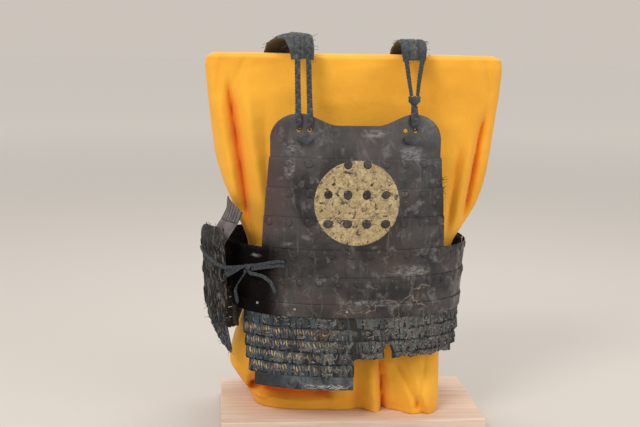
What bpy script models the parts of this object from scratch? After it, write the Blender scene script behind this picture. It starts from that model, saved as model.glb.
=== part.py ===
"""An old riveted iron cuirass with a laced skirt, on its cloth-covered display stand.

Units are metres and +Z is up. The origin is on the wooden base's underside, below the middle
of the cuirass. -Y is the front of the cuirass, and +X is the wearer's left.
"""

import math

import bmesh
import bpy
import numpy as np
from mathutils import Matrix, Vector

GAP = 0.0003

# Wooden base, post and shoulder bar of the stand
BASE_WIDTH = 0.482
BASE_DEPTH = 0.260
BASE_THICK = 0.030
BASE_BEVEL = 0.002
STAND_TOP = 0.6835
POST_WIDTH = 0.090
POST_DEPTH = 0.040
BAR_WIDTH = 0.440
BAR_DEPTH = 0.070
BAR_HEIGHT = 0.045
BAR_BEVEL = 0.008

# Cloth cover of the stand
COVER_WALL = 0.002
COVER_COLUMNS = 44
COVER_SQUARENESS = 3.4
COVER_HEM = BASE_THICK + GAP

# height, reach to -X, reach to +X, reach to the front, reach to the back
COVER_SECTIONS = (
    (COVER_HEM, 0.172, 0.172, 0.088, 0.080),
    (0.070, 0.196, 0.174, 0.096, 0.084),
    (0.108, 0.220, 0.177, 0.094, 0.086),
    (0.150, 0.204, 0.178, 0.088, 0.084),
    (0.200, 0.180, 0.178, 0.086, 0.082),
    (0.270, 0.180, 0.182, 0.088, 0.082),
    (0.340, 0.186, 0.198, 0.084, 0.080),
    (0.375, 0.200, 0.222, 0.080, 0.078),
    (0.410, 0.216, 0.244, 0.076, 0.075),
    (0.450, 0.234, 0.258, 0.072, 0.072),
    (0.500, 0.248, 0.266, 0.068, 0.068),
    (0.560, 0.256, 0.273, 0.064, 0.064),
    (0.620, 0.262, 0.281, 0.061, 0.061),
    (0.660, 0.2665, 0.284, 0.059, 0.059),
    (0.677, 0.264, 0.281, 0.056, 0.056),
    (STAND_TOP, 0.252, 0.268, 0.046, 0.046),
)

# front (1) or back (-1), x at the top and at the bottom, top and bottom height, half width,
# depth inwards
COVER_FOLDS = (
    (1, -0.214, -0.166, 0.650, 0.330, 0.022, 0.024),
    (1, -0.246, -0.205, 0.600, 0.400, 0.016, -0.008),
    (1, 0.246, 0.200, 0.600, 0.360, 0.022, 0.018),
    (1, 0.190, 0.180, 0.520, 0.330, 0.022, 0.010),
    (1, 0.085, 0.082, 0.200, 0.020, 0.016, 0.020),
    (1, 0.058, 0.056, 0.160, 0.020, 0.016, -0.014),
    (1, -0.120, -0.140, 0.190, 0.020, 0.024, 0.014),
    (-1, -0.205, -0.160, 0.650, 0.330, 0.024, 0.020),
    (-1, 0.215, 0.170, 0.640, 0.330, 0.024, 0.020),
    (-1, 0.030, 0.020, 0.200, 0.020, 0.022, 0.016),
    (-1, -0.110, -0.120, 0.180, 0.020, 0.022, 0.012),
)

# Iron plates of the body
PLATE = 0.0015
OVERLAP = 0.018
OVAL = 2.3
WAIST_BOTTOM = 0.221
SEAMS = (0.2448, 0.2939, 0.3444, 0.4015, 0.4529, 0.5056)
FRONT_OPEN_EDGE = math.radians(-92)
FRONT_HINGE_EDGE = math.radians(89.6)
BACK_HINGE_EDGE = math.radians(90.4)
BACK_OPEN_EDGE = math.radians(302)
WING_FLARE = 0.050
WING_FLARE_FROM = math.radians(180)
WING_FLARE_TO = math.radians(268)
WING_RISE = 0.034
WING_RISE_FROM = math.radians(262)
WING_RISE_TO = math.radians(288)
LOWEST_LEAN = 0.0031
NECK_HEIGHT = 0.563
SHOULDER_HEIGHT = 0.5828
BACK_NECK_HEIGHT = 0.632
BACK_SHOULDER_HEIGHT = 0.642
CHEST_EDGE = 0.1505
BACK_EDGE = 0.1360

# height, half width, reach to the front, reach to the back, of the oval that the plates follow
BODY_SECTIONS = (
    (WAIST_BOTTOM, 0.2135, 0.1450, 0.1370),
    (SEAMS[0], 0.2145, 0.1450, 0.1372),
    (SEAMS[1], 0.2170, 0.1458, 0.1382),
    (SEAMS[2], 0.2195, 0.1475, 0.1400),
    (SEAMS[3], 0.2205, 0.1500, 0.1400),
    (SEAMS[4], 0.2205, 0.1495, 0.1380),
    (SEAMS[5], 0.2200, 0.1455, 0.1330),
    (BACK_SHOULDER_HEIGHT, 0.2180, 0.1290, 0.1120),
)

# height, half width of the breast above the armholes
BREAST_OUTLINE = (
    (SEAMS[2] - OVERLAP, 0.1640),
    (SEAMS[2], 0.1635),
    (SEAMS[3], 0.1600),
    (SEAMS[4], 0.1560),
    (SEAMS[5], 0.1515),
)

# Rivets: round heads in rows near the top edge of each lower plate
RIVET_RADIUS = 0.0064
RIVET_TOP_RADIUS = 0.0042
RIVET_RISE = 0.0016
RIVET_SIDES = 6
RIVET_PITCH = 0.0336
RIVET_BELOW_EDGE = 0.0098
CHEST_RIVET_HEIGHT = 0.5387
CHEST_RIVET_SHIFT = 0.0201

# Hinge at the wearer's left side
HINGE_PIN_RADIUS = 0.0012
HINGE_LEAF = 0.0012
HINGE_LEAF_DEPTH = -0.0019
HINGE_LEAF_TURN = math.radians(5.0)

# Plate inside the open end of the wing
UNDERARM_FROM = 281.0
UNDERARM_TO = 298.0
UNDERARM_BOTTOM = 0.316
UNDERARM_HEIGHT = 0.110
UNDERARM_DROP = 0.022
UNDERARM_LEAN = 0.042

# Laced skirt
SKIRT_TOP = 0.2000
SKIRT_PITCH = 0.0213
SKIRT_LAME = 0.0235
SKIRT_PLATE = 0.0015
SKIRT_IN = 0.0082
SKIRT_FLARE = 0.16
SKIRT_LEAN = 0.0022
LACE_RISE = 0.0022
LACE_VALLEY = 0.40
LACE_ROW_GAP = 0.0008
HANGER_TOP = WAIST_BOTTOM + 0.0045

# row from the top, first turn, last turn, lowest height, of each row of the two front panels
RIGHT_PANEL_ROWS = (
    ("1", -64.0, -0.12, 0.0),
    ("2", -60.5, -0.12, 0.0),
    ("3", -58.0, -0.12, 0.0),
    ("4", -54.0, -0.12, 0.0),
    ("5", -49.0, -0.12, 0.0),
)
LEFT_PANEL_ROWS = (
    ("1", 0.12, 74.0, 0.0),
    ("2", 0.12, 64.0, 0.0),
    ("3_inner", 0.12, 11.9, 0.147),
    ("3_outer", 15.6, 56.0, 0.147),
)
LACE_TURN = 3.6
NOTCH_LEFT = 0.054
NOTCH_RIGHT = 0.068
NOTCH_TOP = 0.1735

# name, first turn, last turn, number of steps, of the plain panels behind
BACK_PANELS = (
    ("back_skirt_left", 98.0, 172.0, 3),
    ("back_skirt_right", 186.0, 249.0, 3),
)
BACK_SKIRT_WALL = 0.0025

# Torn leaf of lacing under the wing, in degrees of turn from its far edge to its near one
LEAF_FROM = 270.0
LEAF_TIP = 297.0
LEAF_TO = 299.5
LEAF_BOTTOM = 0.147
LEAF_WALL = 0.0025
LEAF_LEAN = 0.016

# Shoulder straps, laces and the side tie
STRAP_THICK = 0.004
STRAP_CROWN = 0.002
LACE_HOLE_RADIUS = 0.0038
LACE_HOLE_HEIGHT = 0.5545
LACE_IN_HOLE = 0.0026
LACE_HOLES = (0.0835, 0.1020)
SHOULDER_LACE_THICK = 0.0024
KNOT_HEIGHT = 0.5365
TIE_RADIUS = 0.0026

# x, y, height, half width, how much higher the outer edge is, of each strap from back to front
RIGHT_STRAP = (
    (-0.118, 0.0, 0.600, 0.030, 0.0),
    (-0.120, 0.0, 0.6455, 0.030, 0.0),
    (-0.123, 0.0945, 0.6525, 0.030, 0.0),
    (-0.126, 0.0765, 0.6650, 0.031, 0.0),
    (-0.126, 0.0520, 0.6800, 0.032, 0.0),
    (-0.121, 0.0200, 0.7050, 0.031, -0.008),
    (-0.109, -0.0200, 0.7165, 0.028, -0.006),
    (-0.100, -0.0560, 0.7110, 0.025, -0.002),
    (-0.096, -0.0820, 0.6930, 0.022, 0.0),
    (-0.095, -0.0920, 0.6740, 0.020, 0.0),
)
LEFT_STRAP = (
    (0.112, 0.0, 0.600, 0.028, 0.0),
    (0.112, 0.0, 0.6455, 0.028, 0.0),
    (0.110, 0.0955, 0.6525, 0.028, 0.0),
    (0.108, 0.0775, 0.6650, 0.027, 0.0),
    (0.108, 0.0520, 0.6800, 0.026, 0.0),
    (0.108, 0.0200, 0.6990, 0.025, 0.0),
    (0.108, -0.0200, 0.7075, 0.024, 0.0),
    (0.107, -0.0560, 0.7050, 0.023, 0.0),
    (0.105, -0.0800, 0.6900, 0.022, 0.0),
    (0.104, -0.0900, 0.6740, 0.020, 0.0),
)

# x, y, height, half width, of each lace from the strap's front end, and x of its hole in the chest plate
LACES = (
    ("right_lace_outer", -0.1020, (
        (-0.1045, -0.0605, 0.7178, 0.0058),
        (-0.1042, -0.0880, 0.6987, 0.0058),
        (-0.1040, -0.0985, 0.6750, 0.0058),
        (-0.1040, -0.1115, 0.6360, 0.0057),
        (-0.1040, -0.1290, 0.5960, 0.0058),
        (-0.1040, -0.1405, 0.5700, 0.0062),
    )),
    ("right_lace_inner", -0.0835, (
        (-0.0855, -0.0605, 0.7178, 0.0056),
        (-0.0850, -0.0880, 0.6987, 0.0055),
        (-0.0845, -0.0985, 0.6750, 0.0054),
        (-0.0842, -0.1115, 0.6360, 0.0053),
        (-0.0840, -0.1315, 0.5960, 0.0056),
        (-0.0840, -0.1432, 0.5700, 0.0062),
    )),
    ("left_lace_inner", None, (
        (0.0900, -0.0605, 0.7118, 0.0056),
        (0.0895, -0.0870, 0.6957, 0.0054),
        (0.0895, -0.0965, 0.6750, 0.0050),
        (0.0930, -0.1090, 0.6400, 0.0042),
        (0.0955, -0.1215, 0.6148, 0.0036),
    )),
    ("left_lace_outer", None, (
        (0.1190, -0.0605, 0.7118, 0.0058),
        (0.1185, -0.0870, 0.6957, 0.0056),
        (0.1170, -0.0965, 0.6750, 0.0050),
        (0.1105, -0.1090, 0.6400, 0.0042),
        (0.1062, -0.1215, 0.6148, 0.0036),
    )),
    ("left_lace_end", 0.1020, (
        (0.1002, -0.1255, 0.5982, 0.0064),
        (0.0998, -0.1370, 0.5780, 0.0078),
        (0.1005, -0.1400, 0.5660, 0.0070),
    )),
)

# name, x, y, height, half sizes across, through and up, of the knots
KNOTS = (
    ("right_lace_knot", -0.0930, -0.1423, 0.5365, 0.0155, 0.0050, 0.0062),
    ("left_lace_knot", 0.0960, -0.1418, 0.5365, 0.0160, 0.0052, 0.0066),
    ("left_lace_hitch", 0.1005, -0.1230, 0.6065, 0.0120, 0.0060, 0.0086),
    ("side_tie_knot", -0.1895, -0.1060, 0.3060, 0.0065, 0.0050, 0.0052),
)

# turn in degrees, height, clearance from the plate, of the side tie's cords on the front plates
TIE_CORDS = (
    ("side_tie_upper_strand", (
        (-31.0, 0.3215, 0.0), (-36.0, 0.3195, 0.0004), (-42.0, 0.3150, 0.0010),
        (-47.0, 0.3110, 0.0030), (-51.2, 0.3090, 0.0056),
    )),
    ("side_tie_lower_strand", (
        (-31.0, 0.3140, 0.0), (-36.0, 0.3120, 0.0004), (-42.0, 0.3085, 0.0010),
        (-47.0, 0.3050, 0.0030), (-50.8, 0.3028, 0.0056),
    )),
)

# x, y, height of the points of the side tie's loose cords, from the knot outwards
TIE_LOOSE_CORDS = (
    ("side_tie_end_front", (
        (-0.1864, -0.1060, 0.3002),
        (-0.1838, -0.1084, 0.2950),
        (-0.1720, -0.1125, 0.2935),
        (-0.1600, -0.1175, 0.2895),
        (-0.1475, -0.1252, 0.2800),
        (-0.1410, -0.1292, 0.2640),
    )),
    ("side_tie_end_hanging", (
        (-0.1926, -0.1060, 0.3006),
        (-0.1950, -0.1065, 0.2940),
        (-0.2010, -0.1050, 0.2845),
        (-0.2085, -0.1020, 0.2710),
        (-0.2110, -0.1000, 0.2600),
        (-0.2090, -0.0990, 0.2500),
        (-0.2075, -0.0985, 0.2400),
    )),
)

# x, y, height of the first points of the strand that runs from the knot to the back wing
WING_STRAND_START = (
    (-0.1966, -0.1072, 0.3070),
    (-0.2050, -0.1130, 0.3078),
    (-0.2165, -0.1228, 0.3088),
    (-0.2290, -0.1262, 0.3096),
)
# turn in degrees, height, clearance, of its points on the outside of the wing
WING_STRAND = (
    (299.5, 0.3120, 0.0034),
    (293.0, 0.3165, 0.0010),
    (284.0, 0.3225, 0.0),
    (276.0, 0.3285, 0.0),
)


def smooth(value):
    """Eases 0..1 to 0..1 with flat ends."""
    value = min(1.0, max(0.0, value))
    return value * value * (3 - 2 * value)


def read_table(table, height, column):
    """The column's value at that height, between the table's rows."""
    heights = [row[0] for row in table]
    return float(np.interp(height, heights, [row[column] for row in table]))


def start_clean():
    for thing in list(bpy.data.objects):
        bpy.data.objects.remove(thing)
    parts = bpy.data.collections.new("iron_cuirass_on_stand")
    cutters = bpy.data.collections.new("cutters")
    bpy.context.scene.collection.children.link(parts)
    bpy.context.scene.collection.children.link(cutters)
    return parts, cutters


def make_material(name, colour, roughness, metallic=0.0):
    material = bpy.data.materials.new(name)
    material.use_nodes = True
    shader = material.node_tree.nodes["Principled BSDF"]
    shader.inputs["Base Color"].default_value = (*colour, 1)
    shader.inputs["Roughness"].default_value = roughness
    shader.inputs["Metallic"].default_value = metallic
    material.diffuse_color = (*colour, 1)
    return material


PARTS, CUTTERS = start_clean()
IRON = make_material("lacquered_iron", (0.055, 0.048, 0.047), 0.42, 0.6)
INNER_PLATE = make_material("bare_underarm_plate", (0.22, 0.19, 0.19), 0.7)
LACING = make_material("blue_green_lacing", (0.085, 0.135, 0.145), 0.9)
CORD = make_material("dark_cord", (0.07, 0.085, 0.09), 0.85)
STRAP = make_material("worn_leather", (0.12, 0.12, 0.105), 0.85)
YELLOW = make_material("yellow_cotton", (0.86, 0.42, 0.05), 0.9)
WOOD = make_material("pale_wood", (0.62, 0.42, 0.30), 0.5)


def add_object(name, bm, material, collection=None):
    mesh = bpy.data.meshes.new(name)
    bm.to_mesh(mesh)
    bm.free()
    mesh.materials.append(material)
    thing = bpy.data.objects.new(name, mesh)
    (collection or PARTS).objects.link(thing)
    return thing


def add_box(name, size, centre, material, bevel):
    bm = bmesh.new()
    bmesh.ops.create_cube(bm, size=1.0)
    bmesh.ops.scale(bm, vec=size, verts=bm.verts)
    thing = add_object(name, bm, material)
    thing.location = centre
    rounding = thing.modifiers.new("rounded edges", "BEVEL")
    rounding.width = bevel
    rounding.segments = 2
    return thing


def add_cutter(name, bm):
    thing = add_object(name, bm, IRON, CUTTERS)
    thing.hide_render = True
    thing.display_type = "WIRE"
    return thing


def add_boolean(thing, cutter, operation):
    step = thing.modifiers.new(operation.lower(), "BOOLEAN")
    step.operation = operation
    step.solver = "EXACT"
    step.object = cutter


def add_sheet(name, columns, rows, place, material, thickness, relief=None):
    """A wall whose inner face is place(u, v), u and v in 0..1, thickened outwards."""
    bm = bmesh.new()
    grid = [
        [bm.verts.new(place(i / columns, j / rows)) for j in range(rows + 1)]
        for i in range(columns + 1)
    ]
    for i in range(columns):
        for j in range(rows):
            bm.faces.new((grid[i][j], grid[i + 1][j], grid[i + 1][j + 1], grid[i][j + 1]))
    shares = [relief(i / columns) for i in range(columns + 1) for j in range(rows + 1)] if relief else []
    thing = add_object(name, bm, material)
    shell = thing.modifiers.new("wall", "SOLIDIFY")
    shell.thickness = thickness
    shell.offset = 1.0
    shell.use_even_offset = True
    if relief:
        group = thing.vertex_groups.new(name="relief")
        for index, share in enumerate(shares):
            group.add([index], share, "REPLACE")
        shell.vertex_group = "relief"
        shell.thickness_vertex_group = 0.0
    return thing


def body_point(turn, height, off):
    """A point of the body's oval. turn is 0 at the front and grows towards +X, off is outwards."""
    half_width = read_table(BODY_SECTIONS, height, 1)
    reach = read_table(BODY_SECTIONS, height, 2 if math.cos(turn) >= 0 else 3)
    side, ahead = math.sin(turn), math.cos(turn)
    x = half_width * math.copysign(abs(side) ** (2 / OVAL), side)
    y = -reach * math.copysign(abs(ahead) ** (2 / OVAL), ahead)
    slope = Vector((
        math.copysign(abs(x / half_width) ** (OVAL - 1) / half_width, x),
        math.copysign(abs(y / reach) ** (OVAL - 1) / reach, y),
    )).normalized()
    return Vector((x + slope.x * off, y + slope.y * off, height))


def turn_at(x, height, back=False):
    """The turn at which the oval has that x, on the front or on the back."""
    half_width = read_table(BODY_SECTIONS, height, 1)
    turn = math.copysign(math.asin(min(1.0, abs(x) / half_width) ** (OVAL / 2)), x)
    return math.pi - turn if back else turn


def turns_along(height, first_turn, last_turn, start):
    """Turns one rivet pitch apart along the oval, counted both ways from start."""
    fine = np.linspace(first_turn, last_turn, 400)
    points = [body_point(t, height, 0) for t in fine]
    steps = [(b - a).length for a, b in zip(points, points[1:])]
    along = np.concatenate(([0.0], np.cumsum(steps)))
    centre = np.interp(start, fine, along)
    margin = 0.012
    place = centre - RIVET_PITCH * math.floor((centre - margin) / RIVET_PITCH)
    found = []
    while place < along[-1] - margin:
        found.append(float(np.interp(place, along, fine)))
        place += RIVET_PITCH
    return found


def wing_share(turn):
    """How far the back plates have opened, 0 behind and 1 near the open side."""
    return smooth((turn - WING_FLARE_FROM) / (WING_FLARE_TO - WING_FLARE_FROM))


def lean_of(height):
    """How far a plate's top edge stands out over its bottom edge, to clear the plate above."""
    return (PLATE + 2.2 * GAP) / (1 - OVERLAP / height)


def outward(surface, turn, height):
    """The surface's own outward direction at that place."""
    around = surface(turn + 0.01, height, 0) - surface(turn - 0.01, height, 0)
    up = surface(turn, height + 0.003, 0) - surface(turn, height - 0.003, 0)
    return around.cross(up).normalized()


def stood_on(middle, out):
    """Where a round thing sits that stands along out."""
    return Matrix.Translation(middle) @ out.to_track_quat("Z", "Y").to_matrix().to_4x4()


def add_rivets(plate, spots, surface):
    """Joins low rivet heads to a plate. Each spot is (turn, height)."""
    bm = bmesh.new()
    depth = RIVET_RISE + PLATE / 2
    for turn, height in spots:
        out = outward(surface, turn, height)
        middle = surface(turn, height, PLATE) + out * (RIVET_RISE - depth / 2)
        bmesh.ops.create_cone(
            bm, cap_ends=True, segments=RIVET_SIDES, radius1=RIVET_RADIUS, radius2=RIVET_TOP_RADIUS,
            depth=depth, matrix=stood_on(middle, out),
        )
    add_boolean(plate, add_cutter(plate.name + "_rivet_heads", bm), "UNION")


def cut_holes(plate, spots, radius, surface):
    """Cuts small round holes through a plate."""
    bm = bmesh.new()
    for turn, height in spots:
        out = outward(surface, turn, height)
        bmesh.ops.create_cone(
            bm, cap_ends=True, segments=10, radius1=radius, radius2=radius, depth=0.03,
            matrix=stood_on(surface(turn, height, 0), out),
        )
    add_boolean(plate, add_cutter(plate.name + "_drill", bm), "DIFFERENCE")


def add_waist_plate(name, bottom, top, first_turn, last_turn, columns, opens, rivet_start):
    """One plate of the waist ring, between two heights, with a rivet row that starts at rivet_start."""
    lowest = bottom == WAIST_BOTTOM
    foot = PLATE + 2 * GAP if lowest else 0.0
    lean = LOWEST_LEAN if lowest else lean_of(top - bottom)
    rises = opens and top == SEAMS[2]

    def surface(turn, height, off):
        share = min(1.0, (height - bottom) / (top - bottom))
        stand_off = foot + (lean - foot) * share + (WING_FLARE * wing_share(turn) if opens else 0)
        return body_point(turn, height, off + stand_off)

    def place(u, v):
        turn = first_turn + (last_turn - first_turn) * u
        if rises and v > 0.9:
            risen = smooth((turn - WING_RISE_FROM) / (WING_RISE_TO - WING_RISE_FROM))
            return surface(turn, top + WING_RISE * risen, 0)
        return surface(turn, bottom + (top - bottom) * min(1.0, v * (2 if rises else 1)), 0)

    step = (last_turn - first_turn) / columns

    def facet(turn, height, off):
        before = first_turn + step * math.floor((turn - first_turn) / step)
        share = (turn - before) / step
        return surface(before, height, off).lerp(surface(before + step, height, off), share)

    plate = add_sheet(name, columns, 2 if rises else 1, place, IRON, PLATE)
    if rivet_start is not None:
        rivet_height = top - RIVET_BELOW_EDGE
        turns = turns_along(rivet_height, first_turn, last_turn, rivet_start)
        add_rivets(plate, [(turn, rivet_height) for turn in turns], facet)
    return facet


def neck_line(x, neck, shoulder, corner_from, corner_to, drop):
    """Height of a shallow neck between two rounded shoulders."""
    across = abs(x)
    rise = (shoulder - neck) * smooth((across - 0.034) / 0.064)
    corner = min(1.0, max(0.0, (across - corner_from) / (corner_to - corner_from)))
    return neck + rise - drop * (1 - math.sqrt(1 - corner ** 2))


def chest_top(x):
    return neck_line(x, NECK_HEIGHT, SHOULDER_HEIGHT, 0.100, CHEST_EDGE + 0.0005, 0.048)


def back_top(x):
    return neck_line(x, BACK_NECK_HEIGHT, BACK_SHOULDER_HEIGHT, 0.100, BACK_EDGE + 0.0005, 0.060)


def add_breast_plate(name, seam, columns, rivet_row, rivet_places):
    """One plate of the breast between two seams. The highest has the neck line as its top edge."""
    low, bottom = SEAMS[seam - 1], SEAMS[seam - 1] - OVERLAP
    shaped = seam == len(SEAMS)
    top = SHOULDER_HEIGHT if shaped else SEAMS[seam]
    lean = lean_of(top - bottom)

    def surface(turn, height, off):
        return body_point(turn, height, off + lean * min(1.0, (height - bottom) / (top - bottom)))

    def place(u, v):
        share = math.sin((2 * u - 1) * math.pi / 2)
        step = round(v * (3 if shaped else 2))
        if shaped and step >= 2:
            x = share * CHEST_EDGE
            edge = chest_top(x)
            height = edge if step == 3 else low + (edge - low) * 0.55
        else:
            height = (bottom, low, top)[step]
            x = share * read_table(BREAST_OUTLINE, height, 1)
        return surface(turn_at(x, height), height, 0)

    plate = add_sheet(name, columns, 3 if shaped else 2, place, IRON, PLATE)
    add_rivets(plate, [(turn_at(x, rivet_row), rivet_row) for x in rivet_places], surface)
    return plate, surface


def rivet_row(count, shift=0.0):
    return [RIVET_PITCH * (k - (count - 1) / 2) + shift for k in range(count)]


def add_front():
    ring = (FRONT_OPEN_EDGE, FRONT_HINGE_EDGE, 24, False)
    lowest = add_waist_plate("front_waist_3", WAIST_BOTTOM, SEAMS[0], *ring, None)
    add_waist_plate("front_waist_2", SEAMS[0] - OVERLAP, SEAMS[1], *ring, turn_at(0.0036, SEAMS[1]))
    add_waist_plate("front_waist_1", SEAMS[1] - OVERLAP, SEAMS[2], *ring, turn_at(-0.0090, SEAMS[2]))
    for number, seam, rivets in ((3, 3, 10), (2, 4, 8), (1, 5, 8)):
        height = SEAMS[seam] - RIVET_BELOW_EDGE
        add_breast_plate(f"front_breast_{number}", seam, 22, height, rivet_row(rivets))
    chest, surface = add_breast_plate(
        "front_chest", len(SEAMS), 22, CHEST_RIVET_HEIGHT, rivet_row(4, CHEST_RIVET_SHIFT),
    )
    places = [side * x for side in (-1, 1) for x in LACE_HOLES]
    holes = [(turn_at(x, LACE_HOLE_HEIGHT), LACE_HOLE_HEIGHT) for x in places]
    cut_holes(chest, holes, LACE_HOLE_RADIUS, surface)
    return lowest


def add_back():
    ring = (BACK_HINGE_EDGE, BACK_OPEN_EDGE, 26, True)
    lowest = add_waist_plate("back_waist_3", WAIST_BOTTOM, SEAMS[0], *ring, None)
    add_waist_plate("back_waist_2", SEAMS[0] - OVERLAP, SEAMS[1], *ring, math.pi)
    highest = add_waist_plate("back_waist_1", SEAMS[1] - OVERLAP, SEAMS[2], *ring, math.pi)
    bottom = SEAMS[2] - OVERLAP
    levels = (bottom, SEAMS[2], SEAMS[3], SEAMS[4], SEAMS[5], None)

    def place(u, v):
        share = -math.sin((2 * u - 1) * math.pi / 2)
        level = levels[round(v * 5)]
        narrow = 0.158 + (BACK_EDGE - 0.158) * v
        x = share * narrow
        height = back_top(x) if level is None else level
        turn = turn_at(x, height, True)
        if height <= SEAMS[2]:
            return highest(turn, height, -PLATE - 2 * GAP)
        return body_point(turn, height, -PLATE)

    add_sheet("back_plate", 16, 5, place, IRON, PLATE)
    return lowest, highest


def add_underarm_plate(wing):
    """A thin plate inside the open end of the wing, which leans towards the body as it rises."""

    def place(u, v):
        turn = math.radians(UNDERARM_FROM + (UNDERARM_TO - UNDERARM_FROM) * u)
        height = UNDERARM_BOTTOM + (UNDERARM_HEIGHT - UNDERARM_DROP * u) * v
        point = wing(turn, height, -PLATE - 2 * GAP)
        lean = UNDERARM_LEAN * smooth((height - SEAMS[2] + 0.02) / 0.09)
        return point + Vector((lean, 0, 0))

    add_sheet("underarm_plate", 6, 5, place, INNER_PLATE, PLATE)


def add_hinge():
    """The hinge at the wearer's left: a pin between the plates and a leaf inside each."""
    height = SEAMS[2] - WAIST_BOTTOM - 0.004
    bm = bmesh.new()
    bmesh.ops.create_cone(
        bm, cap_ends=True, segments=12, radius1=HINGE_PIN_RADIUS, radius2=HINGE_PIN_RADIUS, depth=height,
    )
    pin = add_object("hinge_pin", bm, IRON)
    side = read_table(BODY_SECTIONS, (WAIST_BOTTOM + SEAMS[2]) / 2, 1)
    pin.location = (side + 0.0010, 0, WAIST_BOTTOM + 0.002 + height / 2)
    pin.rotation_euler = (0, math.atan2(0.0058, SEAMS[2] - WAIST_BOTTOM), 0)
    leaves = (
        ("hinge_leaf_front", FRONT_HINGE_EDGE - HINGE_LEAF_TURN),
        ("hinge_leaf_back", BACK_HINGE_EDGE),
    )
    for name, first in leaves:

        def place(u, v):
            turn = first + HINGE_LEAF_TURN * u
            return body_point(turn, WAIST_BOTTOM + 0.002 + height * v, HINGE_LEAF_DEPTH)

        add_sheet(name, 2, 2, place, IRON, HINGE_LEAF)


def skirt_point(turn, height, off, flare=0.0):
    """A point of the skirt, which hangs from inside the waist's lower edge and spreads below it."""
    spread = SKIRT_FLARE * max(0.0, WAIST_BOTTOM - height)
    return body_point(turn, height, off - SKIRT_IN + spread + flare)


def skirt_flare(turn):
    return WING_FLARE * wing_share(turn)


def laced(columns):
    """Thickness along a row of lacing: a ridge at each lace and a valley between."""
    return lambda u: 1.0 if round(u * columns) % 2 else LACE_VALLEY


def row_limits(row):
    top = SKIRT_TOP - row * SKIRT_PITCH
    return top, top - SKIRT_LAME


def ragged_edge(turn, low, top):
    """The torn lower edge of the left panel, with its square notch."""
    x = body_point(turn, WAIST_BOTTOM, 0).x
    if NOTCH_LEFT < x < NOTCH_RIGHT and top > NOTCH_TOP:
        return max(low, NOTCH_TOP)
    return low + 0.004 * math.sin(x * 90) ** 2 if x > NOTCH_RIGHT and low < 0.15 else low


def add_skirt_panel(side, rows, first_turn, last_turn, waist):
    hanger_columns = 2 * round((last_turn - first_turn) / LACE_TURN)
    first, last = math.radians(first_turn), math.radians(last_turn)

    def hanger(u, v):
        turn = first + (last - first) * u
        if v > 0.4:
            height = HANGER_TOP - (HANGER_TOP - WAIST_BOTTOM + 0.001) * (1 - v) * 2
            return waist(turn, height, -LACE_RISE - 2 * GAP)
        return skirt_point(turn, SKIRT_TOP + LACE_ROW_GAP, SKIRT_LEAN + SKIRT_PLATE + 2 * GAP)

    ridges = laced(hanger_columns)
    add_sheet(f"{side}_skirt_hanging_laces", hanger_columns, 2, hanger, LACING, LACE_RISE, ridges)
    for label, row_first, row_last, lowest in rows:
        row = int(label[0]) - 1
        top, foot = row_limits(row)
        first_r, last_r = math.radians(row_first), math.radians(row_last)
        columns = 2 * max(2, round((row_last - row_first) / LACE_TURN))

        def lame(u, v):
            turn = first_r + (last_r - first_r) * u
            low = max(foot, lowest)
            low = ragged_edge(turn, low, top) if side == "left" else low
            height = low + (top - low) * v
            return skirt_point(turn, height, SKIRT_LEAN * (height - foot) / SKIRT_LAME)

        add_sheet(f"{side}_skirt_plate_{label}", columns, 1, lame, IRON, SKIRT_PLATE)
        if side == "right" and row == len(rows) - 1:
            continue
        low_edge = max(top - SKIRT_PITCH + LACE_ROW_GAP, lowest)

        def band(u, v):
            turn = first_r + (last_r - first_r) * u
            low = ragged_edge(turn, low_edge, top) if side == "left" else low_edge
            height = low + (top - low) * v
            lean = SKIRT_LEAN * (height - foot) / SKIRT_LAME
            return skirt_point(turn, height, lean + SKIRT_PLATE + 2 * GAP)

        add_sheet(f"{side}_skirt_laces_{label}", columns, 1, band, LACING, LACE_RISE, laced(columns))


def add_back_skirts(waist):
    """The two plain panels behind, each a stepped wall."""
    for name, first_turn, last_turn, steps in BACK_PANELS:
        rows = 2 * steps

        def place(u, v):
            turn = math.radians(first_turn + (last_turn - first_turn) * u)
            level = round((1 - v) * rows)
            row, lower = divmod(level, 2)
            height = HANGER_TOP - level * (HANGER_TOP - 0.137) / rows
            if level == 0:
                return waist(turn, height, -BACK_SKIRT_WALL - 2 * GAP)
            return skirt_point(turn, height, 0.0016 * row - 0.0008 * lower, skirt_flare(turn))

        add_sheet(name, 16, rows, place, LACING, BACK_SKIRT_WALL)


def add_side_fragments(front, back):
    """What is left of the side's skirt: a torn leaf under the wing and a dark strip under the front."""

    def leaf(u, v):
        height = LEAF_BOTTOM + (HANGER_TOP - LEAF_BOTTOM) * v
        first = LEAF_FROM + (LEAF_TIP - LEAF_FROM) * (1 - v) ** 1.8
        turn = math.radians(first + (LEAF_TO - first) * u)
        return back(turn, height, -LEAF_WALL - 2 * GAP - LEAF_LEAN * max(0.0, 0.85 - v))

    add_sheet("torn_side_panel", 4, 10, leaf, LACING, LEAF_WALL)

    def strip(u, v):
        turn = math.radians(-90 + 17 * u)
        low = 0.180 + 0.012 * (1 - u)
        height = low + (HANGER_TOP - low) * v
        return front(turn, height, -0.0022 - 2 * GAP)

    add_sheet("front_wing_remnant", 6, 2, strip, LACING, 0.0022)


def add_strap(name, table):
    """A curved leather strap from the back plate over the stand to the front laces."""
    last = len(table) - 1

    def place(u, v):
        x, y, height, half, tilt = table[round(v * last)]
        across = 1 - 2 * u
        beside = x + half * across
        if y == 0.0:
            return body_point(turn_at(beside, height, True), height, 6 * GAP)
        drop = tilt * max(0.0, across * math.copysign(1, x))
        return Vector((beside, y, height + drop + STRAP_CROWN * (1 - across ** 2)))

    add_sheet(name, 4, last, place, STRAP, STRAP_THICK)


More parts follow.
